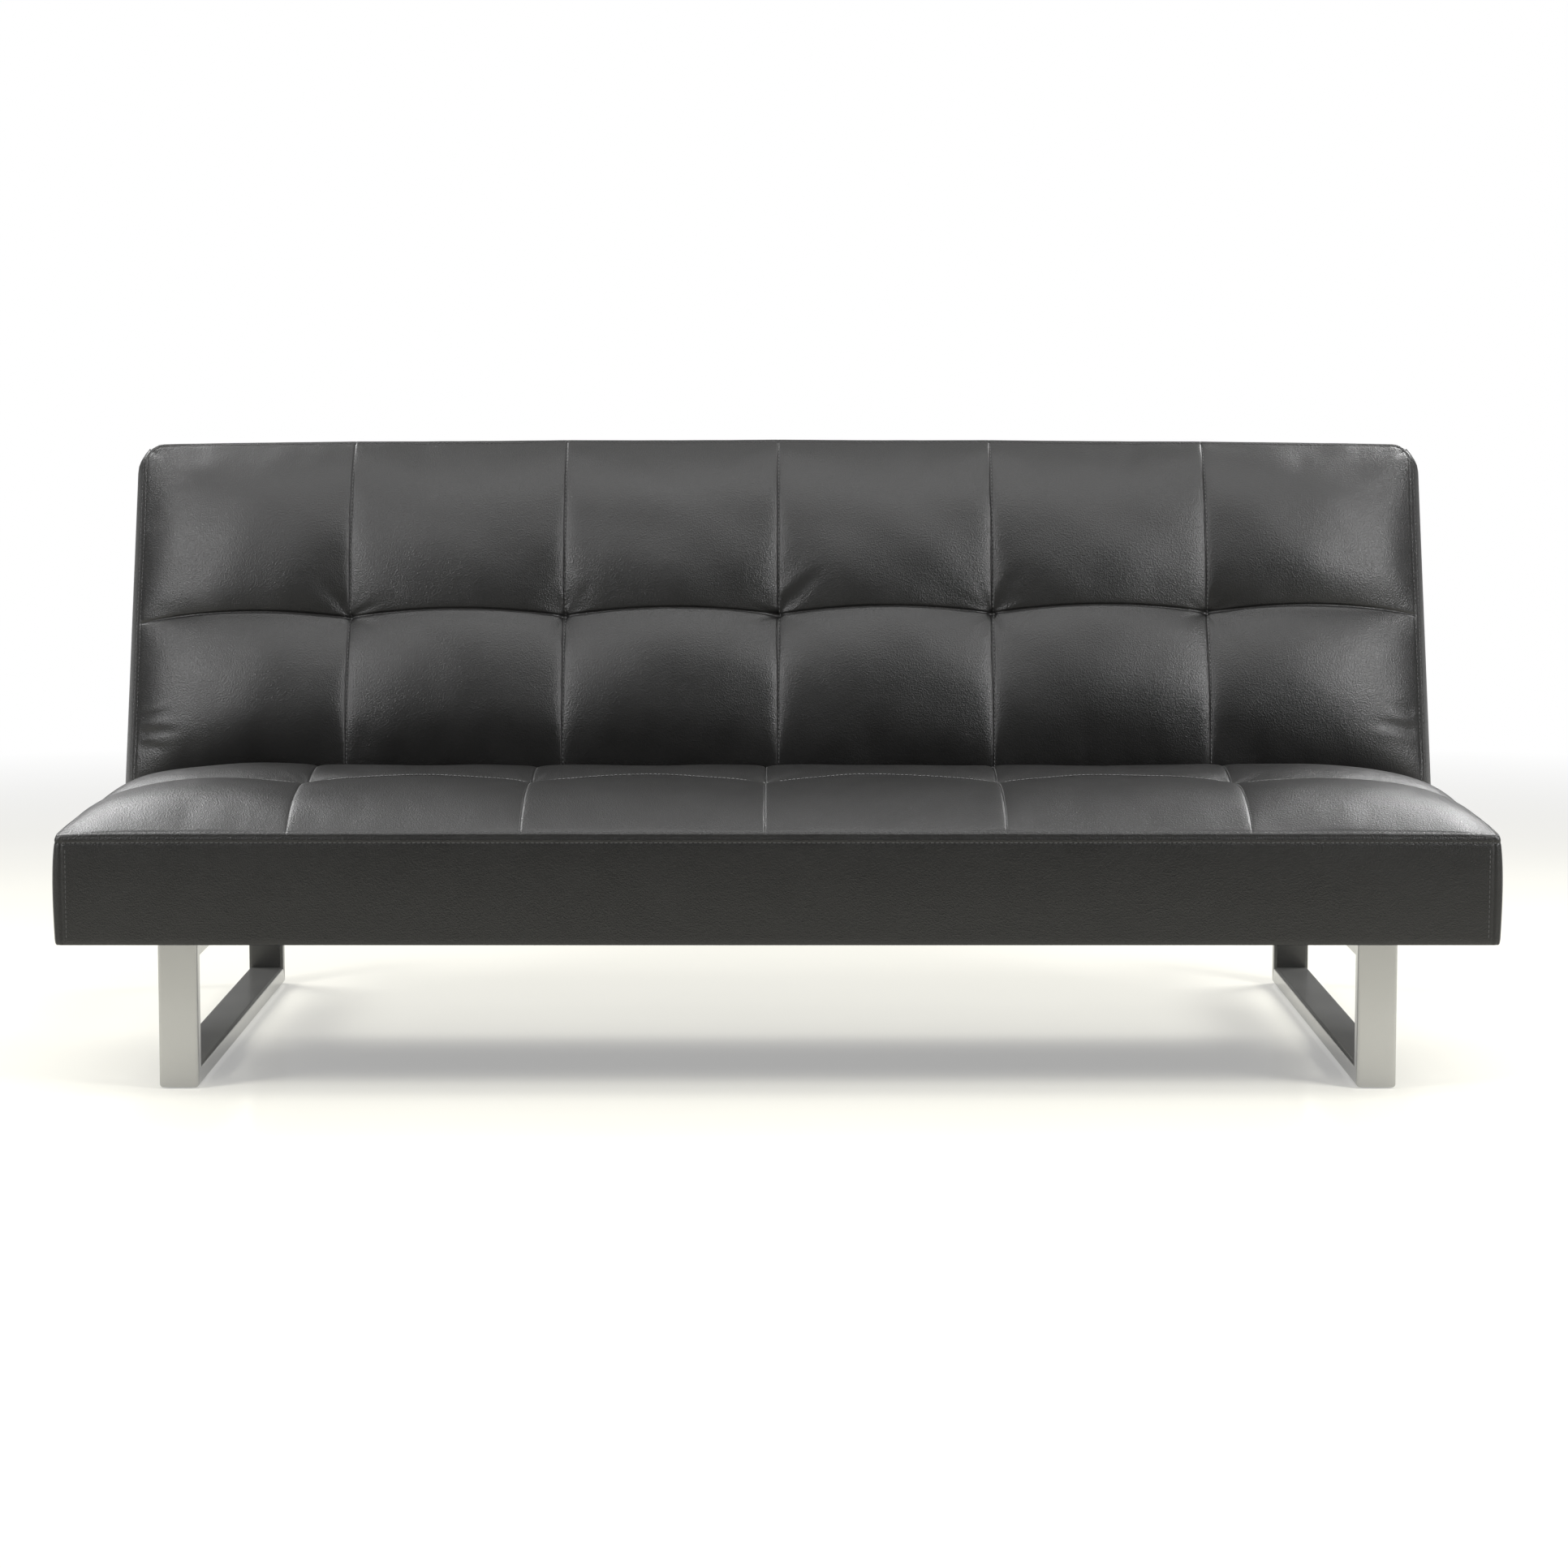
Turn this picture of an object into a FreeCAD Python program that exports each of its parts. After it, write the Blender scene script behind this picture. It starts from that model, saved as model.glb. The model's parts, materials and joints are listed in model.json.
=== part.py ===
import FreeCAD, Part
import math
import os
import re
import Sketcher

# Click-clack sofa bed: a quilted seat panel fixed on two sled legs, and a quilted back panel
# that turns on a ratchet hinge at each end until it lies level behind the seat.
# Frame: +X along the width, -Y towards the sitter, +Z up. The origin is on the floor, at the
# middle of the footprint. The right side is +X.
# Each panel is drawn lying flat in its own frame: origin on the hinge axis, +Y away from the
# hinge, +Z out of the quilted face. The seat is then turned half a turn about Z, and the back
# is tipped up about X.

DIMENSIONS = {
    # whole object
    "overall_width": 1800, "seat_length": 500, "back_length": 520, "panel_height": 133,
    "panel_gap": 14, "recline": 20, "crown": 44, "hinge_drop": 25, "corner_radius": 27.5,
    # sled legs
    "loop_setback": 70, "loop_length": 890, "loop_reach": 780, "tube_width": 50,
    "tube_thickness": 25, "tube_wall": 1.5, "tube_rounding": 4.5, "glide_height": 2,
    "plate_height": 2, "rail_top": 190, "leg_bolt_front": 112, "leg_bolt_rear": 380,
    # panel frame
    "seat_frame_reach": 876, "back_frame_reach": 880.5, "rail_height": 60, "rail_thickness": 30,
    "cross_width": 60, "cross_height": 45, "cross_reach": 755, "base_thickness": 1,
    "edge_padding": 14.5, "cover_thickness": 2.5, "block_leg": 45, "block_height": 24,
    # springs and felt
    "wire_diameter": 3.8, "spring_count": 10, "spring_spacing": 165, "spring_half_width": 16,
    "spring_turn_radius": 11, "felt_height": 3.2,
    # hinge
    "plate": 4, "boss_radius": 18, "pin_radius": 5, "running_gap": 0.05, "ratchet_tip": 17,
    "ratchet_root": 13.5, "ratchet_teeth": 16, "pawl_thickness": 3.4, "guard_thickness": 2,
    "arm_length": 175, "arm_low": -95, "arm_high": -55, "hinge_bolt_z": -75,
    "hinge_bolt_first": 65, "hinge_bolt_pitch": 42, "seat_arm_x": 878, "back_arm_x": 882.5,
    "ratchet_x": 886.5, "guard_x": 890, "pawl_y": 30, "pawl_z": -8, "post_y": 51, "post_z": -45,
    # fasteners
    "bolt_radius": 4, "bolt_hole": 4.1, "bolt_head_radius": 7, "bolt_head_height": 4.5,
    "nut_radius": 6.5, "nut_height": 6.5,
}

X_AXIS = FreeCAD.Vector(1, 0, 0)
Z_AXIS = FreeCAD.Vector(0, 0, 1)
SIDES = {"left": -1, "right": 1}

doc = FreeCAD.newDocument("sofa_bed")
sheet = doc.addObject("Spreadsheet::Sheet", "Dimensions")
for row, (alias, size) in enumerate(DIMENSIONS.items(), start=1):
    sheet.set(f"A{row}", alias)
    sheet.set(f"B{row}", str(size))
    sheet.setAlias(f"B{row}", alias)
doc.recompute()

subparts = []


# ---- expressions, sketches and placements ----

def bound(text):
    """The same expression with each dimension's name pointing at its cell."""
    return re.sub(r"[a-z_]+", lambda word: "Dimensions." + word[0] if word[0] in DIMENSIONS
                  else word[0], str(text))


def number(text):
    return float(sheet.evalExpression(bound(text)))


def keep(item, label, placement=None):
    """Names a finished sub-part and puts it in its place."""
    item.Label = label
    if placement is not None:
        item.Placement = placement
    subparts.append(item)
    return item


def at(x=0, y=0, z=0):
    return FreeCAD.Placement(FreeCAD.Vector(number(x), number(y), number(z)), FreeCAD.Rotation())


def turned(axis, angle):
    return FreeCAD.Placement(FreeCAD.Vector(), FreeCAD.Rotation(axis, angle))


def new_body(name):
    return doc.addObject("PartDesign::Body", name)


def new_sketch(body, role):
    """A sketch on one of the body's own origin planes."""
    plane = [item for item in body.Origin.OriginFeatures if item.Role == role][0]
    sketch = body.newObject("Sketcher::SketchObject", body.Name + "_sketch")
    sketch.AttachmentSupport = (plane, [""])
    sketch.MapMode = "FlatFace"
    return sketch


def bind_point(sketch, element, vertex, across, up):
    """Ties a point to two expressions, measured from the sketch's origin."""
    for kind, axis, text in (("DistanceX", -2, across), ("DistanceY", -1, up)):
        if abs(number(text)) < 1e-9:
            sketch.addConstraint(Sketcher.Constraint("PointOnObject", element, vertex, axis))
            continue
        rule = Sketcher.Constraint(kind, -1, 1, element, vertex, number(text))
        index = sketch.addConstraint(rule)
        sketch.setExpression(f"Constraints[{index}]", bound(text))


def bind_radius(sketch, element, text):
    index = sketch.addConstraint(Sketcher.Constraint("Radius", element, number(text)))
    sketch.setExpression(f"Constraints[{index}]", bound(text))


def point(corner):
    return FreeCAD.Vector(number(corner[0]), number(corner[1]), 0)


def join_ends(sketch, first, count):
    for step in range(count):
        follower = first + (step + 1) % count
        sketch.addConstraint(Sketcher.Constraint("Coincident", first + step, 2, follower, 1))


def draw_outline(sketch, corners):
    """A closed outline of straight lines through the corners."""
    first = sketch.GeometryCount
    for start, end in zip(corners, corners[1:] + corners[:1]):
        sketch.addGeometry(Part.LineSegment(point(start), point(end)), False)
    join_ends(sketch, first, len(corners))
    for step, corner in enumerate(corners):
        bind_point(sketch, first + step, 1, *corner)


def draw_circle(sketch, across, up, radius):
    circle = Part.Circle(point((across, up)), Z_AXIS, number(radius))
    element = sketch.addGeometry(circle, False)
    bind_point(sketch, element, 3, across, up)
    bind_radius(sketch, element, radius)


def draw_rectangle(sketch, width, height):
    """A rectangle centred on the sketch's origin."""
    right, top = f"({width})/2", f"({height})/2"
    draw_outline(sketch, [(f"-{right}", f"-{top}"), (right, f"-{top}"), (right, top),
                          (f"-{right}", top)])


def draw_crowned(sketch, near, far, low, high, corner, crown):
    """A panel's side outline: flat base, upright sides, rounded near corner, arched top."""
    start, side = f"{near}+{corner}", f"{high}-({corner})"
    run = f"({far}-({start}))"
    arch = f"({run}*{run}/4+({crown})*({crown}))/(2*({crown}))"
    flat = [(near, side), (near, low), (far, low), (far, high)]
    for one, two in zip(flat, flat[1:]):
        sketch.addGeometry(Part.LineSegment(point(one), point(two)), False)
    top = FreeCAD.Vector(number(f"{start}+{run}/2"), number(f"{high}+{crown}"), 0)
    sketch.addGeometry(Part.Arc(point((far, high)), top, point((start, high))), False)
    bulge = number(corner) * (1 - math.sqrt(0.5))
    middle = FreeCAD.Vector(number(near) + bulge, number(high) - bulge, 0)
    sketch.addGeometry(Part.Arc(point((start, high)), middle, point((near, side))), False)
    join_ends(sketch, 0, 5)
    for element, corner_point in enumerate(flat[:3] + [(far, high), (start, high)]):
        bind_point(sketch, element, 1, *corner_point)
    bind_radius(sketch, 3, arch)
    bind_radius(sketch, 4, corner)


def extrude(body, sketch, kind, length):
    """A pad or pocket, half to each side of the sketch's plane."""
    feature = body.newObject("PartDesign::" + kind, body.Name + "_" + kind.lower())
    feature.Profile = sketch
    feature.SideType = "Symmetric"
    feature.setExpression("Length", bound(length))
    sketch.Visibility = False
    doc.recompute()
    return feature


def box(name, length, width, height, placement=None):
    """A block centred on X = 0, starting at Y = 0 and Z = 0 of its own placement."""
    block = doc.addObject("Part::Box", name)
    for side, text in (("Length", length), ("Width", width), ("Height", height)):
        block.setExpression(side, bound(text))
    block.Placement = (placement or at()) * at(f"-({length})/2")
    return block


def rod(name, radius, height, placement, axis="X"):
    """A cylinder centred on its placement, along X or Z."""
    cylinder = doc.addObject("Part::Cylinder", name)
    cylinder.setExpression("Radius", bound(radius))
    cylinder.setExpression("Height", bound(height))
    turn = turned(FreeCAD.Vector(0, 1, 0), 90) if axis == "X" else at()
    cylinder.Placement = placement * turn * at(0, 0, f"-({height})/2")
    return cylinder


def group(name, items):
    compound = doc.addObject("Part::Compound", name)
    compound.Links = items
    return compound


def fused(name, items):
    union = doc.addObject("Part::MultiFuse", name)
    union.Shapes = items
    return union


def cut(name, base, tools):
    """The base less every tool; the result has to be smaller than the base."""
    result = doc.addObject("Part::Cut", name)
    result.Base = base
    result.Tool = group(name + "_tools", tools) if len(tools) > 1 else tools[0]
    doc.recompute()
    if not result.Shape.Volume < base.Shape.Volume - 1:
        raise RuntimeError(name + ": the cut removed nothing")
    return result


# ---- where things are ----

FRONT = "(-(loop_setback+loop_length)/2)"
HINGE_Y = f"({FRONT}+seat_length+panel_gap/2)"
SEAT_BASE = "(rail_top+plate_height)"
HINGE_Z = f"({SEAT_BASE}+panel_height-hinge_drop)"

SEAM = "hinge_drop"
BASE = "(hinge_drop-panel_height)"
NEAR = "(panel_gap/2)"
FRAME_LOW = f"({BASE}+base_thickness)"
FRAME_HIGH = f"({FRAME_LOW}+rail_height)"
FOAM_LOW = f"({FRAME_HIGH}+wire_diameter+felt_height)"
FRAME_NEAR = f"({NEAR}+cover_thickness+edge_padding)"
NOTCH_X, NOTCH_WIDTH, NOTCH_LENGTH = 883.5, 22, 68
NOTCH_LOW, NOTCH_HIGH = "(arm_low-6)", "22"


class Panel:
    """One of the two cushioned panels, with its own hinge-side frame."""

    def __init__(self, name, length, frame_reach, placement, ends):
        self.name = name
        self.frame_reach = frame_reach
        self.placement = placement
        self.near_name, self.far_name = ends
        self.far = f"({NEAR}+{length})"
        self.frame_far = f"({self.far}-cover_thickness-edge_padding)"
        self.inner = f"({self.frame_far}-{FRAME_NEAR}-2*rail_thickness)"
        self.mirror = -1 if name == "seat" else 1

    def put(self, x=0, y=0, z=0):
        """A placement given by global X and by the panel's own Y and Z."""
        return self.placement * at(f"{self.mirror}*({x})", y, z)


def make_panels():
    hinge = at(0, HINGE_Y, HINGE_Z)
    seat = Panel("seat", "seat_length", "seat_frame_reach", hinge * turned(Z_AXIS, 180),
                 ("rear", "front"))
    back = Panel("back", "back_length", "back_frame_reach",
                 hinge * turned(X_AXIS, 90 - number("recline")), ("lower", "upper"))
    return seat, back


# ---- sled legs ----

def make_tube(name, length):
    """A flat tube along +Y with mitred ends. Its long side is the one at -Z."""
    body = new_body(name)
    section = new_sketch(body, "XZ_Plane")
    draw_rectangle(section, "tube_width", "tube_thickness")
    pad = body.newObject("PartDesign::Pad", name + "_pad")
    pad.Profile = section
    pad.Reversed = True
    pad.setExpression("Length", bound(length))
    doc.recompute()
    long_edges = [f"Edge{index}" for index, edge in enumerate(pad.Shape.Edges, start=1)
                  if abs(edge.Vertexes[0].Y - edge.Vertexes[1].Y) > 1]
    rounding = body.newObject("PartDesign::Fillet", name + "_rounding")
    rounding.Base = (pad, long_edges)
    rounding.setExpression("Radius", bound("tube_rounding"))
    doc.recompute()
    hollow = new_sketch(body, "XZ_Plane")
    draw_rectangle(hollow, "tube_width-2*tube_wall", "tube_thickness-2*tube_wall")
    extrude(body, hollow, "Pocket", f"3*({length})")
    mitres = new_sketch(body, "YZ_Plane")
    low, high, spare = "-tube_thickness/2", "tube_thickness/2", 5
    draw_outline(mitres, [(-spare, f"{low}-{spare}"),
                          (f"tube_thickness+{spare}", f"{high}+{spare}"),
                          (-spare, f"{high}+{spare}")])
    draw_outline(mitres, [(f"{length}+{spare}", f"{low}-{spare}"),
                          (f"{length}+{spare}", f"{high}+{spare}"),
                          (f"{length}-tube_thickness-{spare}", f"{high}+{spare}")])
    extrude(body, mitres, "Pocket", "2*tube_width")
    return body


def make_leg(side):
    """One closed loop of four mitred tubes."""
    x = f"{SIDES[side]}*(loop_reach-tube_width/2)"
    name = side + "_leg"
    low, high = "(glide_height+tube_thickness/2)", "(rail_top-tube_thickness/2)"
    height = "(rail_top-glide_height)"
    front, rear = f"({FRONT}+loop_setback)", f"({FRONT}+loop_setback+loop_length)"
    half = "tube_thickness/2"
    keep(make_tube(name + "_bottom_rail", "loop_length"), name + "_bottom_rail", at(x, front, low))
    keep(make_tube(name + "_front_post", height), name + "_front_post",
         at(x, f"{front}+{half}", "rail_top") * turned(X_AXIS, -90))
    keep(make_tube(name + "_rear_post", height), name + "_rear_post",
         at(x, f"{rear}-{half}", "glide_height") * turned(X_AXIS, 90))
    rail = make_tube(name + "_upper_tube", "loop_length")
    rail.Placement = at(x, rear, high) * turned(X_AXIS, 180)
    holes = [rod(f"{name}_hole_{index}", "bolt_hole", 60, at(x, y, high), "Z")
             for index, y in enumerate(leg_bolt_rows())]
    keep(cut(name + "_top_rail", rail, holes), name + "_top_rail")


def leg_bolt_rows():
    return [f"({FRONT}+leg_bolt_front)", f"({FRONT}+leg_bolt_rear)"]


def leg_bolt_places(z):
    return [at(f"{sign}*cross_reach", y, z) for sign in SIDES.values() for y in leg_bolt_rows()]


def make_leg_fittings():
    """Glides under the loops, plates and bolts that hold the seat, and rest buffers."""
    glides, buffers = [], []
    for sign in SIDES.values():
        for y in (f"({FRONT}+loop_setback+30)", f"({FRONT}+loop_setback+loop_length-90)"):
            glides.append(box("glide", "tube_width-8", 60, "glide_height",
                              at(f"{sign}*cross_reach", y)))
        for y in (f"({HINGE_Y}+90)", f"({HINGE_Y}+360)"):
            buffers.append(rod("buffer", 14, "plate_height-0.4",
                               at(f"{sign}*cross_reach", y, "rail_top+(plate_height-0.4)/2"), "Z"))
    keep(group("glides", glides), "leg_glides")
    keep(group("buffers", buffers), "back_rest_buffers")
    plates = [cut("plate", box("plate_blank", "tube_width-4", 70, "plate_height",
                               place * at(0, -35)), [rod("plate_hole", "bolt_hole", 20, place, "Z")])
              for place in leg_bolt_places("rail_top")]
    keep(group("plates", plates), "leg_mount_plates")
    under = "rail_top-tube_thickness"
    bolts = [fused("leg_bolt", [
        rod("leg_bolt_head", "bolt_head_radius", "bolt_head_height",
            place * at(0, 0, "-bolt_head_height/2"), "Z"),
        rod("leg_bolt_shank", "bolt_radius", 64, place * at(0, 0, 32), "Z")])
        for place in leg_bolt_places(under)]
    keep(group("leg_bolts", bolts), "leg_bolts")


# ---- panel frames ----

def make_side_rails(panel):
    """The two end rails, drilled for the hinge bolts."""
    for side, sign in SIDES.items():
        name = f"{panel.name}_{side}_rail"
        x = f"{sign}*({panel.frame_reach}-rail_thickness/2)"
        blank = box(name + "_blank", "rail_thickness", f"{panel.frame_far}-{FRAME_NEAR}",
                    "rail_height", panel.put(x, FRAME_NEAR, FRAME_LOW))
        holes = [rod(name + "_hole", "bolt_hole", 80, panel.put(x, y, "hinge_bolt_z"))
                 for y in hinge_bolt_rows()]
        keep(cut(name, blank, holes), name)


def make_cross_members(panel):
    """The two long rails, three cross rails between them, and the glued corner blocks."""
    span = f"2*({panel.frame_reach}-rail_thickness)"
    far_start = f"{panel.frame_far}-rail_thickness"
    for end, y in ((panel.near_name, FRAME_NEAR), (panel.far_name, far_start)):
        name = f"{panel.name}_{end}_rail"
        keep(box(name, span, "rail_thickness", "rail_height", panel.put(0, y, FRAME_LOW)), name)
    start = f"{FRAME_NEAR}+rail_thickness"
    places = {"left_cross_rail": "-cross_reach", "middle_cross_rail": "0",
              "right_cross_rail": "cross_reach"}
    for end, x in places.items():
        name = f"{panel.name}_{end}"
        rail = box(name + "_plain", "cross_width", panel.inner, "cross_height",
                   panel.put(x, start, FRAME_LOW))
        if panel.name == "seat" and x != "0":
            holes = [rod(name + "_hole", "bolt_radius+0.05", 120, at(x, y, SEAT_BASE), "Z")
                     for y in leg_bolt_rows()]
            rail = cut(name + "_drilled", rail, holes)
        keep(rail, name)
    make_corner_blocks(panel, start, f"({start}+{panel.inner})")


def make_corner_blocks(panel, near, far):
    blocks = []
    for sign in SIDES.values():
        for y, turn in ((near, 1), (far, -1)):
            body = new_body(f"{panel.name}_block")
            outline = new_sketch(body, "XY_Plane")
            draw_outline(outline, [("0", "0"), (f"{-sign}*block_leg", "0"), ("0", f"{turn}*block_leg")])
            extrude(body, outline, "Pad", "block_height")
            x = f"{sign}*({panel.frame_reach}-rail_thickness)"
            body.Placement = panel.placement * at(x, y, f"{FRAME_LOW}+block_height/2")
            blocks.append(body)
    keep(group(panel.name + "_blocks", blocks), panel.name + "_corner_blocks")


# ---- springs ----

def hexagon(centre, normal, radius):
    """A six-sided wire section, square to the normal, with its centre at the point given."""
    across = normal.cross(Z_AXIS) * radius
    up = Z_AXIS * radius
    corners = [centre + across * math.cos(math.radians(step * 60)) +
               up * math.sin(math.radians(step * 60)) for step in range(7)]
    return Part.makePolygon(corners)


def spring_shape(length):
    """One zigzag spring: straight runs across X joined by half turns, advancing along Y."""
    turn = number("spring_turn_radius")
    half = number("spring_half_width")
    runs = int((length - 2 * turn) // (2 * turn))
    start = (length - 2 * turn * (runs - 1)) / 2
    y, side, path = start, 1, []
    path.append(Part.LineSegment(FreeCAD.Vector(-half, y, 0), FreeCAD.Vector(half, y, 0)).toShape())
    for _ in range(runs - 1):
        low, high = FreeCAD.Vector(side * half, y, 0), FreeCAD.Vector(side * half, y + 2 * turn, 0)
        outer = FreeCAD.Vector(side * (half + turn), y + turn, 0)
        path.append(Part.Arc(low, outer, high).toShape())
        y += 2 * turn
        end = FreeCAD.Vector(-side * half, y, 0)
        path.append(Part.LineSegment(high, end).toShape())
        side = -side
    section = hexagon(FreeCAD.Vector(-half, start, 0), X_AXIS, number("wire_diameter") / 2)
    return Part.Wire(path).makePipeShell([section], True, False)


def make_springs(panel):
    length = number(f"{panel.inner}+1.2*rail_thickness")
    one = spring_shape(length)
    count, spacing = int(number("spring_count")), number("spring_spacing")
    start_y = number(f"{FRAME_NEAR}+0.4*rail_thickness")
    copies = []
    for index in range(count):
        copy = one.copy()
        x = (index - (count - 1) / 2) * spacing
        copy.Placement = FreeCAD.Placement(
            FreeCAD.Vector(x, start_y, number(f"{FRAME_HIGH}+wire_diameter/2")), FreeCAD.Rotation())
        copies.append(copy)
    springs = doc.addObject("Part::Feature", panel.name + "_springs")
    springs.Shape = Part.makeCompound(copies)
    keep(springs, panel.name + "_springs", panel.placement)


# ---- padding and covers ----

def make_padding(panel):
    frame_width = f"2*{panel.frame_reach}"
    felt = box(panel.name + "_felt", f"{frame_width}-8", f"{panel.frame_far}-{FRAME_NEAR}-8",
               "felt_height-0.2", panel.put(0, f"{FRAME_NEAR}+4", f"{FRAME_HIGH}+wire_diameter+0.1"))
    keep(felt, panel.name + "_felt_pad")
    edge_x = f"(overall_width/2-cover_thickness-{panel.frame_reach})"
    strip_start = "(arm_length+12)"
    inner_far = f"({panel.far}-cover_thickness)"
    strips = [
        box("near_strip", f"{frame_width}-8", "edge_padding", "rail_height",
            panel.put(0, f"{NEAR}+cover_thickness", FRAME_LOW)),
        box("far_strip", f"{frame_width}", "edge_padding", "rail_height",
            panel.put(0, panel.frame_far, FRAME_LOW))]
    for sign in SIDES.values():
        x = f"{sign}*({panel.frame_reach}+{edge_x}/2)"
        strips.append(box("side_strip", edge_x, f"{inner_far}-{strip_start}", "rail_height",
                          panel.put(x, strip_start, FRAME_LOW)))
    keep(group(panel.name + "_strips", strips), panel.name + "_edge_padding")


def crowned_body(panel, name, inset, low, width):
    """The panel's padded form, set in from the cover's outer face by the inset."""
    body = new_body(name)
    outline = new_sketch(body, "YZ_Plane")
    draw_crowned(outline, f"{NEAR}+{inset}", f"{panel.far}-{inset}", low, f"{SEAM}-{inset}",
                 f"(corner_radius-{inset})", "crown")
    extrude(body, outline, "Pad", width)
    return body


def notches(panel):
    """Clear pockets for the two hinges."""
    return [box("notch", NOTCH_WIDTH, NOTCH_LENGTH, f"{NOTCH_HIGH}-{NOTCH_LOW}",
                panel.put(f"{sign}*{NOTCH_X}", 0, NOTCH_LOW)) for sign in SIDES.values()]


def make_foam(panel):
    block = crowned_body(panel, panel.name + "_foam_block", "cover_thickness", FOAM_LOW,
                         "overall_width-2*cover_thickness")
    block.Placement = panel.placement
    keep(cut(panel.name + "_foam_cut", block, notches(panel)), panel.name + "_foam")


def make_cover(panel):
    """A leather skin split at the top seam into a quilted face and a border strip."""
    name = panel.name
    outer = crowned_body(panel, name + "_outer", "0", BASE, "overall_width")
    inner = crowned_body(panel, name + "_inner", "cover_thickness", f"{BASE}-20",
                         "overall_width-2*cover_thickness")
    outer.Placement = panel.placement
    inner.Placement = panel.placement
    above = box(name + "_above", "overall_width+40", f"{panel.far}+40", 200, panel.put(0, -20, SEAM))
    below = box(name + "_below", "overall_width+40", f"{panel.far}+40", 200,
                panel.put(0, -20, f"{SEAM}-200"))
    skin = cut(name + "_skin", outer, [inner])
    for part, half in (("quilted_cover", above), ("border_cover", below)):
        piece = doc.addObject("Part::Common", f"{name}_{part}_whole")
        piece.Base = skin
        piece.Tool = half
        if part == "border_cover":
            piece = cut(f"{name}_{part}_slotted", piece, notches(panel))
        keep(piece, f"{name}_{part}")


def make_base(panel, label):
    """The thin sheet that closes the underside of the seat or the rear of the back."""
    edge = "cover_thickness"
    sheet_box = box(panel.name + "_base", f"overall_width-2*{edge}", f"{panel.far}-{NEAR}-2*{edge}",
                    "base_thickness", panel.put(0, f"{NEAR}+{edge}", BASE))
    if panel.name == "seat":
        sheet_box = cut("seat_base_drilled", sheet_box, [
            rod("base_hole", "bolt_hole", 30, place, "Z") for place in leg_bolt_places(SEAT_BASE)])
    keep(sheet_box, label)


# ---- click-clack hinges ----

def hinge_bolt_rows():
    return [f"(hinge_bolt_first+{step}*hinge_bolt_pitch)" for step in range(3)]


def make_plate(name, outline, boss, holes, thickness):
    """A flat plate in the YZ plane: an outline joined to a round boss at the hinge axis."""
    body = new_body(name)
    shape = new_sketch(body, "YZ_Plane")
    draw_outline(shape, outline)
    extrude(body, shape, "Pad", thickness)
    if boss:
        ring = new_sketch(body, "YZ_Plane")
        draw_circle(ring, "0", "0", boss)
        extrude(body, ring, "Pad", thickness)
    bores = new_sketch(body, "YZ_Plane")
    for across, up, radius in holes:
        draw_circle(bores, across, up, radius)
    extrude(body, bores, "Pocket", f"3*({thickness})")
    return body


def make_arm(panel, side):
    """The long arm bolted flat on the end of the panel's frame."""
    x = f"{SIDES[side]}*{'seat_arm_x' if panel.name == 'seat' else 'back_arm_x'}"
    outline = [("-6", "15"), ("-14", "-10"), ("24", "arm_low"), ("arm_length", "arm_low"),
               ("arm_length", "arm_high"), ("52", "arm_high"), ("16", "9")]
    holes = [("0", "0", "pin_radius+running_gap")]
    holes += [(y, "hinge_bolt_z", "bolt_hole") for y in hinge_bolt_rows()]
    if panel.name == "seat":
        holes += [("pawl_y", "pawl_z", "3"), ("post_y", "post_z", "2")]
        outline = [("-6", "15"), ("-14", "-10"), ("24", "arm_low"), ("arm_length", "arm_low"),
                   ("arm_length", "arm_high"), ("68", "arm_high"), ("58", "-38"), ("38", "4")]
    name = f"{side}_hinge_{panel.name}_arm"
    keep(make_plate(name, outline, "boss_radius", holes, "plate"), name, panel.put(x))


def make_ratchet(back, side):
    """The toothed disc riveted to the back arm, with saw teeth round its rim."""
    name = side + "_hinge_ratchet"
    body = new_body(name)
    teeth = int(number("ratchet_teeth"))
    outline = new_sketch(body, "YZ_Plane")
    corners = []
    for tooth in range(teeth):
        angle = 360 * tooth / teeth
        for radius, turn in (("ratchet_root", angle), ("ratchet_tip", angle)):
            corners.append((f"{radius}*cos({turn})", f"{radius}*sin({turn})"))
    draw_outline(outline, corners)
    extrude(body, outline, "Pad", "plate")
    bore = new_sketch(body, "YZ_Plane")
    draw_circle(bore, "0", "0", "pin_radius+running_gap")
    extrude(body, bore, "Pocket", "3*plate")
    keep(body, name, back.put(f"{SIDES[side]}*ratchet_x"))


def make_pawl(seat, side):
    name = side + "_hinge_pawl"
    outline = [("5", "-17.2"), ("10", "-15"), ("20", "-6"), ("30", "-1"), ("38", "-6"),
               ("54", "-16"), ("52", "-21"), ("34", "-15"), ("22", "-16"), ("7", "-21")]
    body = make_plate(name, outline, None, [("pawl_y", "pawl_z", "3.05"), ("51", "-18", "1.2")],
                      "pawl_thickness")
    keep(body, name, seat.put(f"{SIDES[side]}*ratchet_x"))


def make_guard(seat, side):
    """The outer plate that carries the far ends of the hinge, pawl and spring pins."""
    name = side + "_hinge_guard"
    outline = [("-14", "6"), ("-12", "-12"), ("18", "-26"), ("46", "-52"), ("58", "-48"),
               ("54", "-30"), ("36", "4"), ("4", "17")]
    holes = [("0", "0", "pin_radius+running_gap"), ("pawl_y", "pawl_z", "3"),
             ("post_y", "post_z", "2")]
    body = make_plate(name, outline, "boss_radius-2", holes, "guard_thickness")
    keep(body, name, seat.put(f"{SIDES[side]}*guard_x"))


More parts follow.
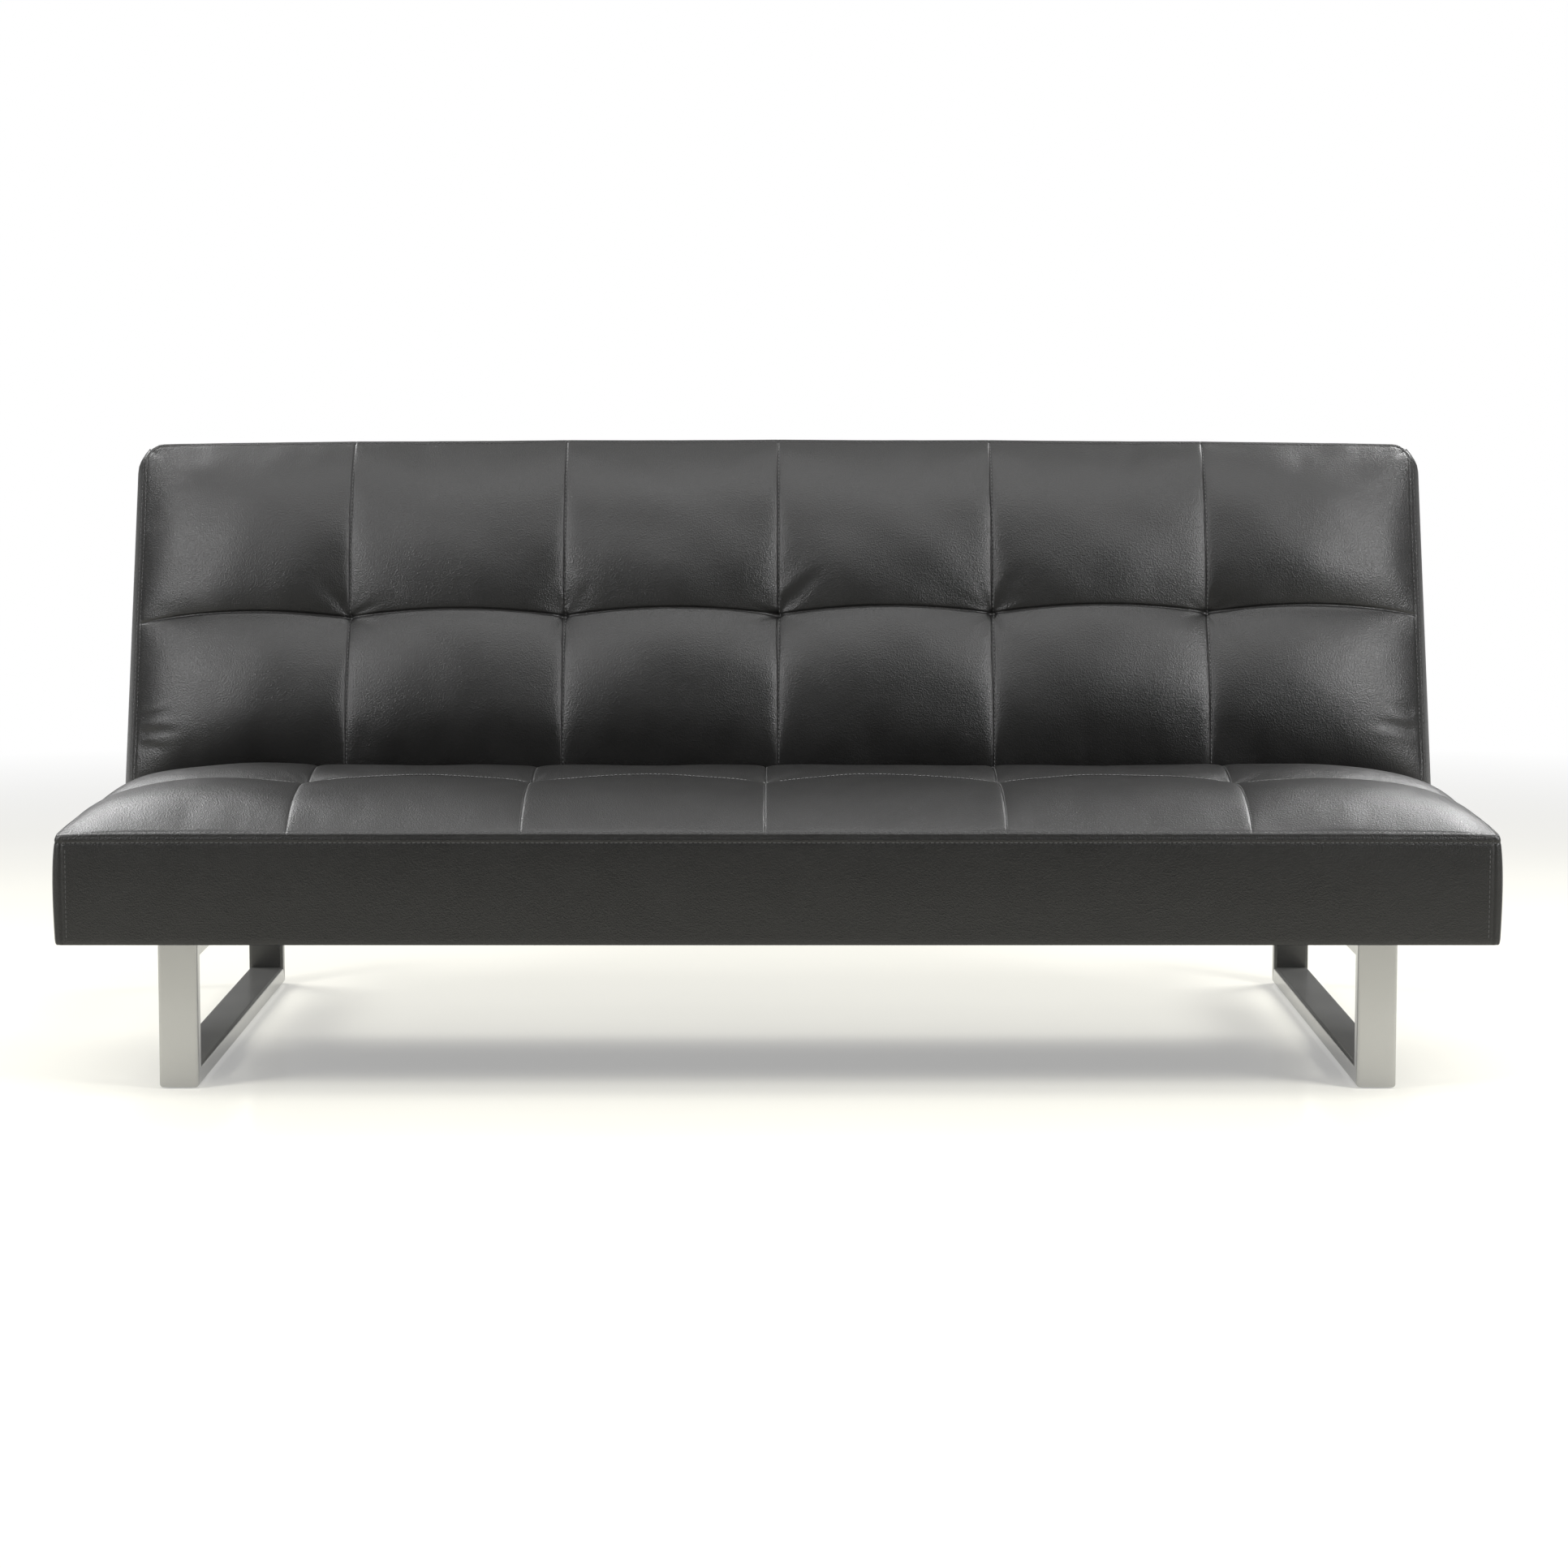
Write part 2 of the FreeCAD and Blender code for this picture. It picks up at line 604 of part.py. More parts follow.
def make_pins(seat, side):
    """The hinge pin with its two heads, the pawl pin and the spring post."""
    sign = SIDES[side]
    inner, outer = "(seat_arm_x-plate/2)", "(guard_x+guard_thickness/2)"
    span, middle = f"({outer}-{inner})", f"({outer}+{inner})/2"
    head = 2.2
    pin = fused(side + "_pin_parts", [
        rod("pin_shank", "pin_radius", span, seat.put(f"{sign}*{middle}")),
        rod("pin_inner_head", "pin_radius+4", head, seat.put(f"{sign}*({inner}-{head}/2)")),
        rod("pin_outer_head", "pin_radius+4", head, seat.put(f"{sign}*({outer}+{head}/2)"))])
    keep(pin, side + "_hinge_pin")
    small = [rod("pawl_pin", 3, span, seat.put(f"{sign}*{middle}", "pawl_y", "pawl_z")),
             rod("spring_post", 2, span, seat.put(f"{sign}*{middle}", "post_y", "post_z"))]
    keep(group(side + "_small_pins", small), side + "_hinge_small_pins")


def make_pawl_spring(seat, side):
    """A closed coil spring from the pawl's tail down to the post."""
    low, high, radius, wire = number("post_z") + 2.4, -21, 1.9, 0.4
    turns = 9
    helix = Part.makeHelix((high - low) / turns, high - low, radius)
    section = hexagon(FreeCAD.Vector(radius, 0, 0), FreeCAD.Vector(0, 1, 0), wire)
    shape = Part.Wire(helix).makePipeShell([section], True, True)
    spring = doc.addObject("Part::Feature", side + "_pawl_spring")
    spring.Shape = shape
    keep(spring, side + "_hinge_pawl_spring", seat.put(f"{SIDES[side]}*ratchet_x", "post_y", low))


def make_hinge_bolts(panel):
    """Three bolts through each arm and side rail, with nuts on the inside."""
    arm_x = "seat_arm_x" if panel.name == "seat" else "back_arm_x"
    outer = f"({arm_x}+plate/2)"
    inner = f"({panel.frame_reach}-rail_thickness)"
    bolts = []
    for sign in SIDES.values():
        for y in hinge_bolt_rows():
            def spot(x):
                return panel.put(f"{sign}*({x})", y, "hinge_bolt_z")
            bolts.append(fused("hinge_bolt", [
                rod("shank", "bolt_radius", f"{outer}-{inner}+nut_height", spot(
                    f"({outer}+{inner}-nut_height)/2")),
                rod("head", "bolt_head_radius", "bolt_head_height", spot(
                    f"{outer}+bolt_head_height/2")),
                rod("nut", "nut_radius", "nut_height", spot(f"{inner}-nut_height/2"))]))
    keep(group(panel.name + "_bolt_set", bolts), panel.name + "_hinge_bolts")


# ---- assembly ----

def build():
    seat, back = make_panels()
    for side in SIDES:
        make_leg(side)
    make_leg_fittings()
    for panel in (seat, back):
        make_side_rails(panel)
        make_cross_members(panel)
        make_springs(panel)
        make_padding(panel)
        make_foam(panel)
        make_cover(panel)
        make_hinge_bolts(panel)
    make_base(seat, "seat_dust_cover")
    make_base(back, "back_rear_cover")
    for side in SIDES:
        make_arm(seat, side)
        make_arm(back, side)
        make_ratchet(back, side)
        make_pawl(seat, side)
        make_guard(seat, side)
        make_pins(seat, side)
        make_pawl_spring(seat, side)


def check_and_write():
    doc.recompute()
    failed = [item.Label for item in doc.Objects
              if "Invalid" in item.State or "Error" in item.State]
    failed += [item.Label for item in subparts if item.Shape.isNull() or not item.Shape.isValid()]
    if failed:
        raise RuntimeError("failed: " + ", ".join(failed))
    os.makedirs("parts", exist_ok=True)
    for item in subparts:
        item.Shape.exportStep(f"parts/{item.Label}.step")
    hinge_y, hinge_z = number(HINGE_Y), number(HINGE_Z)
    print(len(subparts), "sub-parts; hinge axis at", hinge_y, hinge_z)


build()
check_and_write()
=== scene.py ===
import json
import math

import bpy
import bmesh
import numpy as np
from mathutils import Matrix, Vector


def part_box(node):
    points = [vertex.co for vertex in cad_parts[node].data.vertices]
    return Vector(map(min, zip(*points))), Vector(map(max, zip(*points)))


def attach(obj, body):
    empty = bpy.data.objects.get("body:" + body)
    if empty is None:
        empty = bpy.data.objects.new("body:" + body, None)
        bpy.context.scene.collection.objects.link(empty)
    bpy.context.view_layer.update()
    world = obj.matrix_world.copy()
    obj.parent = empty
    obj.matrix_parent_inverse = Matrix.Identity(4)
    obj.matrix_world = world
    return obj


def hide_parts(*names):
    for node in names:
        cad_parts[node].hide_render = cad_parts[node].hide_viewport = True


# A black quilted click-clack sofa bed on two sled legs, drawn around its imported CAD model.
# Row frame: +X along the width, -Y towards the sitter, +Z up, in metres.
# Each panel is worked out in its own frame: origin on the hinge axis, y away from the hinge,
# z out of the quilted face. The seat's y then points to the sitter and the back's y up.

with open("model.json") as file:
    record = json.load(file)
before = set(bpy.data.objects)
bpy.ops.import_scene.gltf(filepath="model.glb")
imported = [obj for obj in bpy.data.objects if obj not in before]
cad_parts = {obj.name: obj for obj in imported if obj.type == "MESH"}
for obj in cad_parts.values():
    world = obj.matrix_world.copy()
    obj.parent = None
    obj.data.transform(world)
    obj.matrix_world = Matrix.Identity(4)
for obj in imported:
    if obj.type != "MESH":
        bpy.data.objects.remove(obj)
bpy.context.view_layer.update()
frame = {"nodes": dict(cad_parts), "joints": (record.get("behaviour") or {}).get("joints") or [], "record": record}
scene = bpy.context.scene
MM = 0.001

recline = [joint for joint in frame["joints"] if joint["name"] == "backrest_recline"][0]
hinge = Vector(recline["pos_m"])
tilt = math.radians(max(recline["range_deg"]))


# ---- small helpers ----

def smooth(t):
    t = np.clip(t, 0.0, 1.0)
    return t * t * (3.0 - 2.0 * t)


def bump(distance, width, power=2.0):
    return np.exp(-(np.abs(distance) / width) ** power)


def new_object(name, points, faces):
    mesh = bpy.data.meshes.new(name)
    mesh.from_pydata([tuple(point) for point in points], [], faces)
    piece = bpy.data.objects.new(name, mesh)
    scene.collection.objects.link(piece)
    return piece


def grid_faces(rows, columns, start=0):
    faces = []
    for row in range(rows - 1):
        for column in range(columns - 1):
            corner = start + row * columns + column
            faces.append((corner, corner + 1, corner + columns + 1, corner + columns))
    return faces


def finish_mesh(piece, material):
    """Outward normals, smooth shading and one material."""
    work = bmesh.new()
    work.from_mesh(piece.data)
    bmesh.ops.recalc_face_normals(work, faces=work.faces)
    if work.calc_volume(signed=True) < 0:
        bmesh.ops.reverse_faces(work, faces=work.faces)
    work.to_mesh(piece.data)
    work.free()
    piece.data.materials.clear()
    piece.data.materials.append(material)
    piece.data.shade_smooth()
    return piece


def grid_normals(points):
    """Unit normals of a grid of points, shaped (rows, columns, 3)."""
    along = np.gradient(points, axis=1)
    up = np.gradient(points, axis=0)
    normal = np.cross(along, up)
    return normal / np.maximum(np.linalg.norm(normal, axis=2, keepdims=True), 1e-12)


# ---- materials ----

class Nodes:
    """A short way to write a node tree: every texture reads object coordinates."""

    def __init__(self, name):
        self.material = bpy.data.materials.new(name)
        self.material.use_nodes = True
        self.tree = self.material.node_tree
        self.shader = self.tree.nodes["Principled BSDF"]
        self.place = self.add("ShaderNodeTexCoord").outputs["Object"]

    def add(self, kind, **settings):
        node = self.tree.nodes.new(kind)
        for key, value in settings.items():
            setattr(node, key, value)
        return node

    def link(self, source, target):
        self.tree.links.new(source, target)

    def set(self, **values):
        for key, value in values.items():
            self.shader.inputs[key.replace("_", " ")].default_value = value

    def noise(self, scale, detail=3.0, roughness=0.5, stretch=None, distortion=0.0):
        node = self.add("ShaderNodeTexNoise")
        node.inputs["Scale"].default_value = scale
        node.inputs["Detail"].default_value = detail
        node.inputs["Roughness"].default_value = roughness
        node.inputs["Distortion"].default_value = distortion
        self.link(self.stretched(stretch), node.inputs["Vector"])
        return node.outputs["Fac"]

    def voronoi(self, scale, feature="F1", stretch=None, warp=None):
        node = self.add("ShaderNodeTexVoronoi", feature=feature)
        node.inputs["Scale"].default_value = scale
        self.link(self.stretched(stretch) if warp is None else warp, node.inputs["Vector"])
        return node.outputs["Distance"]

    def stretched(self, stretch):
        if stretch is None:
            return self.place
        node = self.add("ShaderNodeMapping")
        node.inputs["Scale"].default_value = stretch
        self.link(self.place, node.inputs["Vector"])
        return node.outputs["Vector"]

    def ramp(self, source, low, high, from_min=0.0, from_max=1.0):
        """A number mapped from one range to another."""
        node = self.add("ShaderNodeMapRange")
        node.inputs["From Min"].default_value = from_min
        node.inputs["From Max"].default_value = from_max
        node.inputs["To Min"].default_value = low
        node.inputs["To Max"].default_value = high
        self.link(source, node.inputs["Value"])
        return node.outputs["Result"]

    def colours(self, source, stops):
        node = self.add("ShaderNodeValToRGB")
        band = node.color_ramp
        while len(band.elements) < len(stops):
            band.elements.new(0.5)
        for element, (place, colour) in zip(band.elements, stops):
            element.position = place
            element.color = (*colour, 1.0)
        self.link(source, node.inputs["Fac"])
        return node.outputs["Color"]

    def maths(self, kind, first, second):
        node = self.add("ShaderNodeMath", operation=kind)
        for socket, value in zip(node.inputs, (first, second)):
            if isinstance(value, (int, float)):
                socket.default_value = value
            else:
                self.link(value, socket)
        return node.outputs["Value"]

    def bump(self, height, strength, distance):
        node = self.add("ShaderNodeBump")
        node.inputs["Strength"].default_value = strength
        node.inputs["Distance"].default_value = distance
        self.link(height, node.inputs["Height"])
        last = self.shader.inputs["Normal"]
        if last.links:
            self.link(last.links[0].from_socket, node.inputs["Normal"])
        self.link(node.outputs["Normal"], last)


def grey(value, warmth=0.0):
    return (value * (1 + warmth), value, value * (1 - warmth))


def leather():
    """Black pressed leather: fine pebble grain, faint mottling, a soft sheen."""
    n = Nodes("black_leather")
    n.set(Roughness=0.42)
    n.shader.inputs["Specular IOR Level"].default_value = 0.46
    pebble = n.voronoi(500.0)
    small = n.voronoi(950.0)
    fine = n.noise(1200.0, 4.0, 0.6)
    mottle = n.noise(24.0, 4.0, 0.6)
    patch = n.noise(5.0, 2.0, 0.5)
    n.link(n.colours(n.maths("ADD", n.maths("MULTIPLY", mottle, 0.5),
                             n.maths("MULTIPLY", pebble, 0.6)),
                     [(0.2, grey(0.0020, 0.04)), (0.8, grey(0.0046, 0.04))]),
           n.shader.inputs["Base Color"])
    n.link(n.maths("ADD", n.ramp(mottle, -0.04, 0.05), n.ramp(patch, 0.33, 0.40)),
           n.shader.inputs["Roughness"])
    grain = n.maths("ADD", pebble, n.maths("ADD", n.maths("MULTIPLY", small, 0.6),
                                           n.maths("MULTIPLY", fine, 0.5)))
    n.bump(grain, 0.34, 0.001)
    n.bump(n.noise(38.0, 3.0, 0.55), 0.08, 0.004)
    return n.material


def thread(name, low, high):
    n = Nodes(name)
    n.set(Roughness=0.5)
    twist = n.add("ShaderNodeTexWave", wave_type="BANDS", bands_direction="DIAGONAL")
    twist.inputs["Scale"].default_value = 900.0
    n.link(n.place, twist.inputs["Vector"])
    n.link(n.colours(twist.outputs["Fac"], [(0.0, grey(low)), (1.0, grey(high))]),
           n.shader.inputs["Base Color"])
    n.bump(twist.outputs["Fac"], 0.3, 0.0002)
    return n.material


def metal(name, colour, roughness, brush=(1.0, 1.0, 1.0), grain=420.0, metallic=1.0, depth=0.05,
          spread=0.06):
    """Metal with a fine brushed or cast grain."""
    n = Nodes(name)
    n.set(Metallic=metallic, Roughness=roughness)
    lines = n.noise(grain, 3.0, 0.6, stretch=brush)
    cloud = n.noise(9.0, 3.0, 0.5)
    low = [part * 0.93 for part in colour]
    n.link(n.colours(n.maths("ADD", n.maths("MULTIPLY", lines, 0.5),
                             n.maths("MULTIPLY", cloud, 0.5)), [(0.3, low), (0.7, colour)]),
           n.shader.inputs["Base Color"])
    n.link(n.ramp(n.maths("ADD", n.maths("MULTIPLY", lines, 0.6),
                          n.maths("MULTIPLY", cloud, 0.4)),
                  roughness - spread, roughness + spread), n.shader.inputs["Roughness"])
    n.bump(lines, depth, 0.0003)
    return n.material


def timber():
    n = Nodes("frame_timber")
    n.set(Roughness=0.62)
    rings = n.noise(26.0, 5.0, 0.6, stretch=(0.12, 1.0, 1.0), distortion=1.2)
    pores = n.noise(600.0, 2.0, 0.5, stretch=(0.05, 1.0, 1.0))
    n.link(n.colours(rings, [(0.3, (0.50, 0.33, 0.18)), (0.5, (0.62, 0.44, 0.26)),
                             (0.7, (0.42, 0.26, 0.13))]), n.shader.inputs["Base Color"])
    n.link(n.ramp(rings, 0.55, 0.72), n.shader.inputs["Roughness"])
    n.bump(n.maths("ADD", rings, pores), 0.25, 0.0006)
    return n.material


def cloth(name, colour, threads=700.0, roughness=0.9):
    """A plain woven or felted cloth."""
    n = Nodes(name)
    n.set(Roughness=roughness, Sheen_Weight=0.15)
    fuzz = n.noise(threads, 3.0, 0.6)
    weave = n.voronoi(threads * 0.8)
    cloud = n.noise(14.0, 3.0, 0.5)
    high = [min(1.0, part * 1.35) for part in colour]
    n.link(n.colours(n.maths("ADD", n.maths("MULTIPLY", fuzz, 0.6),
                             n.maths("MULTIPLY", cloud, 0.4)), [(0.3, colour), (0.7, high)]),
           n.shader.inputs["Base Color"])
    n.bump(n.maths("ADD", fuzz, weave), 0.5, 0.0008)
    return n.material


def moulded(name, colour, roughness, cells=260.0):
    """Moulded plastic, rubber or foam with a fine texture."""
    n = Nodes(name)
    n.set(Roughness=roughness)
    texture = n.voronoi(cells)
    cloud = n.noise(30.0, 3.0, 0.5)
    high = [min(1.0, part * 1.25) for part in colour]
    n.link(n.colours(cloud, [(0.35, colour), (0.65, high)]), n.shader.inputs["Base Color"])
    n.link(n.ramp(cloud, roughness - 0.06, roughness + 0.06), n.shader.inputs["Roughness"])
    n.bump(texture, 0.2, 0.0006)
    return n.material


LEATHER = leather()
EDGE_THREAD = thread("edge_thread", 0.03, 0.07)
QUILTING_THREAD = thread("quilting_thread", 0.07, 0.15)
SILVER = metal("satin_silver_metal", (0.45, 0.45, 0.437), 0.24, brush=(1.0, 1.0, 0.25),
               metallic=0.9)
# painted shade: a darker copy of the satin silver for the rear posts, standing in for their shade and dark
# reflections
SHADED_SILVER = metal("satin_silver_painted_shade", (0.085, 0.085, 0.083), 0.26, brush=(1.0, 1.0, 0.25),
                      metallic=0.9)
ZINC = metal("zinc_plated_steel", (0.56, 0.57, 0.58), 0.32, grain=300.0)
WIRE = metal("spring_wire", (0.33, 0.33, 0.34), 0.38, grain=500.0)
TIMBER = timber()
FOAM = moulded("seat_foam", (0.62, 0.56, 0.36), 0.85, 340.0)
FELT = cloth("grey_felt", (0.16, 0.16, 0.17), 520.0)
DUST = cloth("dust_cloth", (0.012, 0.012, 0.013), 800.0)
RUBBER = moulded("black_rubber", (0.018, 0.018, 0.018), 0.62)
PLASTIC = moulded("black_plastic", (0.02, 0.02, 0.021), 0.42)

SLOT_MATERIALS = {"black_leather": LEATHER, "satin_metal": SILVER, "foam": FOAM,
                  "felt": FELT, "spring_steel": WIRE, "dust_cloth": DUST, "rubber": RUBBER,
                  "black_plastic": PLASTIC, "zinc_steel": ZINC, "timber": TIMBER}


def dress_nodes():
    """Gives every CAD node the finish of its record slot; the two rear posts then get a darker copy with painted
    shade.
    """
    for entry in frame["record"]["subparts"]:
        mesh = frame["nodes"][entry["node"]].data
        mesh.materials.clear()
        mesh.materials.append(SLOT_MATERIALS[entry["material_slot"]])
    # painted shade: the two rear posts get a far darker copy of the leg metal, for the shade and dark reflections
    # they show from the front
    for name in ("left_leg_rear_post", "right_leg_rear_post"):
        frame["nodes"][name].data.materials[0] = SHADED_SILVER


# ---- the quilted panels ----

BASE_Z = -107.5 * MM
EDGE_STEPS = np.array([0, 0.8, 1.8, 3.0, 4.5, 6.0, 7.4, 8.5, 9.6, 11.2, 13.5, 17, 21.5, 27]) * MM
SEAM_STEPS = np.array([0, 0.9, 2.0, 3.4, 5.2, 7.6, 11, 15.5]) * MM
PLAIN_STEP = 5.5 * MM
SIM_STEP = 10.5 * MM
SIM_FRAMES = 20
CALM_PASSES = 3  # how often the simulated displacement is evened out
SHOULDER_LENGTH = 24 * MM


class Panel:
    """The shape of one quilted panel.

    Where two values are given, the first belongs to the half beside the hinge.
    columns, row: where the quilting seams run. reach: half width of the top seam.
    near, far: y of the top seam beside the hinge and at the outer edge. radii: its corners.
    bow: how far the far seam bows out. tuft, arc: the row seam's height at and between tufts.
    peaks: the pillows' middles. column_crown, edge_rise: height and sharpness of the columns'
    seams. shoulders: fullness beside the row seam. lip: the raised fold along it.
    arch: how far the row seam runs out between tufts. seam_z: z of the top seam.
    sim_share: how much of the simulated lift is kept. wall: the border strip."""

    def __init__(self, name, body, place, columns, row, reach, near, far, radii, bow,
                 tuft, arc, peaks, column_crown, shoulders, wall, corner_seams, lip, creases,
                 seam_z, edge_rise, sim_share, arch, rear_seam):
        self.name = name
        self.rear_seam = rear_seam
        self.arch = arch
        self.sim_share = sim_share
        self.seam_z = seam_z
        self.edge_rise = edge_rise
        self.lip = lip
        self.creases = creases
        self.shoulders = shoulders
        self.bow = bow
        self.corner_seams = corner_seams
        self.body = body
        self.place = place
        self.x_seams = np.array([-reach, *columns, reach])
        self.row = row
        self.near = near
        self.far = far
        self.radii = radii
        self.tuft = tuft
        self.arc = arc
        self.peaks = peaks
        self.column_crown = column_crown
        self.wall = wall

    # -- heights of the seams above the top seam --

    def column_height(self, y, row_y, tuft):
        """Height along a column seam, from the edge up over the foam and down to the tuft."""
        height = np.zeros_like(y)
        for edge, crown, sharp in ((self.near, self.column_crown[0], self.edge_rise[0]),
                                   (self.far, self.column_crown[1], self.edge_rise[1])):
            side = (y - row_y) * (edge - row_y) >= 0
            v = np.clip((y - edge) / (row_y - edge), 0, 1)
            rise = crown * (1 - (1 - v) ** 3.2) ** sharp
            dip = (crown - tuft) * bump(1 - v, 0.22, 1.3)
            height = np.where(side, rise - dip * smooth(v * 3), height)
        return height

    def row_height(self, x):
        """Height along the row seam: an arc between each two tufts, falling at the two ends."""
        height = np.zeros_like(x)
        seams = self.x_seams
        for cell in range(len(seams) - 1):
            low, high = seams[cell], seams[cell + 1]
            inside = (x >= low - 1e-9) & (x <= high + 1e-9)
            u = np.clip((x - low) / (high - low), 0, 1)
            if cell == 0 or cell == len(seams) - 2:
                v = u if cell == 0 else 1 - u
                rise = self.arc * (1 - (1 - v) ** 2.4) ** 0.6
                value = rise - (self.arc - self.tuft) * bump(1 - v, 0.3, 1.4) * smooth(v * 3)
            else:
                swell = (1 - np.abs(2 * u - 1) ** 1.9) ** 0.85
                value = self.tuft + (self.arc - self.tuft) * swell
            height = np.where(inside, value, height)
        return height

    def row_line(self, x):
        """y of the row seam: it runs a little nearer the hinge at each tuft."""
        low, high = self.row
        share = (x - self.x_seams[0]) / (self.x_seams[-1] - self.x_seams[0])
        cell = np.clip(np.searchsorted(self.x_seams, x, side="right") - 1, 0,
                       len(self.x_seams) - 2)
        left, right = self.x_seams[cell], self.x_seams[cell + 1]
        u = np.clip((x - left) / (right - left), 0, 1)
        return low + (high - low) * share + self.arch * np.sin(math.pi * u)

    def base(self, u, v, cell, side):
        """A patch through the seams round one quilt cell. side 0 is the half by the hinge."""
        left, right = self.x_seams[cell], self.x_seams[cell + 1]
        x = left + (right - left) * u
        row_y = self.row_line(x)
        low = self.near if side == 0 else row_y
        high = row_y if side == 0 else self.far
        y = low + (high - low) * v
        last = len(self.x_seams) - 2
        edge = np.zeros_like(u)
        row_edge = self.row_height(x)
        bottom, top = (edge, row_edge) if side == 0 else (row_edge, edge)

        def along(column_x, outer):
            if outer:
                return np.zeros_like(v)
            return self.column_height(y, self.row_line(np.full_like(y, column_x)), self.tuft)

        left_edge = along(left, cell == 0)
        right_edge = along(right, cell == last)
        # the foam is full right out to the edges, so an outer cell rises fast from its side
        a = u
        if cell == 0:
            a = (1 - (1 - u) ** 3.2) ** 0.6
        elif cell == last:
            a = 1 - (1 - u ** 3.2) ** 0.6
        b = v ** 2.2 if side == 0 else 1 - (1 - v) ** 2.2
        corner = {(i, j): self.corner(i, j, cell, side, last) for i in (0, 1) for j in (0, 1)}
        patch = ((1 - b) * bottom + b * top + (1 - a) * left_edge + a * right_edge
                 - (1 - a) * (1 - b) * corner[0, 0] - a * (1 - b) * corner[1, 0]
                 - (1 - a) * b * corner[0, 1] - a * b * corner[1, 1])
        return x, y, patch

    def corner(self, a, b, cell, side, last):
        """Height of a quilt cell's corner: a tuft, or the top seam."""
        on_row = b == 1 if side == 0 else b == 0
        outer = (cell == 0 and a == 0) or (cell == last and a == 1)
        return self.tuft if on_row and not outer else 0.0

    def rounded(self, x, y):
        """Rounds the outline's four corners: nested squares become nested arcs."""
        near_radius, far_radius = self.radii
        reach = self.x_seams[-1]
        share = np.clip((y - self.row[0]) / (self.far - self.row[0]), 0, 1)
        bow = self.bow * (1 - (x / reach) ** 2) * share ** 2
        for edge, sign, radius in ((self.near, -1, near_radius), (self.far, 1, far_radius)):
            x, y = round_corners(x, y, reach, edge, sign, radius)
        return x, y + bow

    def edge_distance(self, x, y):
        """How far inside the top seam each point lies."""
        return np.minimum(np.minimum(x - self.x_seams[0], self.x_seams[-1] - x),
                          np.minimum(y - self.near, self.far - y))

    def flat_z(self, y):
        """z of the top seam: it dips beside the hinge."""
        return self.seam_z - 6 * MM * bump(y - self.near, 24 * MM)


def round_corners(x, y, reach, edge, sign, radius):
    """Turns the two square corners at one edge into arcs."""
    across = np.abs(x) - (reach - radius)
    up = sign * (y - (edge - sign * radius))
    inside = (across > 0) & (up > 0)
    shell = np.maximum(across, up)
    scale = np.where(inside, shell / np.maximum(np.hypot(across, up), 1e-9), 1.0)
    x = np.where(inside, np.sign(x) * (reach - radius + across * scale), x)
    y = np.where(inside, edge - sign * radius + sign * up * scale, y)
    return x, y


def spread(length, first, last, step):
    """Distances from 0 to length, close together at both ends as first and last say."""
    middle_start, middle_end = first[-1], length - last[-1]
    count = max(2, int(round((middle_end - middle_start) / step)))
    middle = np.linspace(middle_start, middle_end, count + 1)[1:-1]
    return np.concatenate([first, middle, (length - last)[::-1]])


def cubic_weights(coarse, places):
    """A matrix that takes values at coarse+1 even points to the given places, 0 to 1."""
    weights = np.zeros((len(places), coarse + 1))
    for index, place in enumerate(places):
        t = np.clip(place, 0, 1) * coarse
        cell = min(int(t), coarse - 1)
        t -= cell
        spline = (-0.5 * t + t * t - 0.5 * t ** 3, 1 - 2.5 * t * t + 1.5 * t ** 3,
                  0.5 * t + 2 * t * t - 1.5 * t ** 3, -0.5 * t * t + 0.5 * t ** 3)
        for step, weight in zip((-1, 0, 1, 2), spline):
            node = cell + step
            if node < 0:
                weights[index, 0] += 2 * weight
                weights[index, 1] -= weight
            elif node > coarse:
                weights[index, coarse] += 2 * weight
                weights[index, coarse - 1] -= weight
            else:
                weights[index, node] += weight
    return weights


def join_cells(blocks):
    """Joins the blocks of the two rows of cells into one grid, each shared seam once."""
    rows = []
    for side in (0, 1):
        parts = [block if index == 0 else block[:, 1:] for index, block in enumerate(blocks[side])]
        row = np.concatenate(parts, axis=1)
        rows.append(row if side == 0 else row[1:])
    return np.concatenate(rows, axis=0)


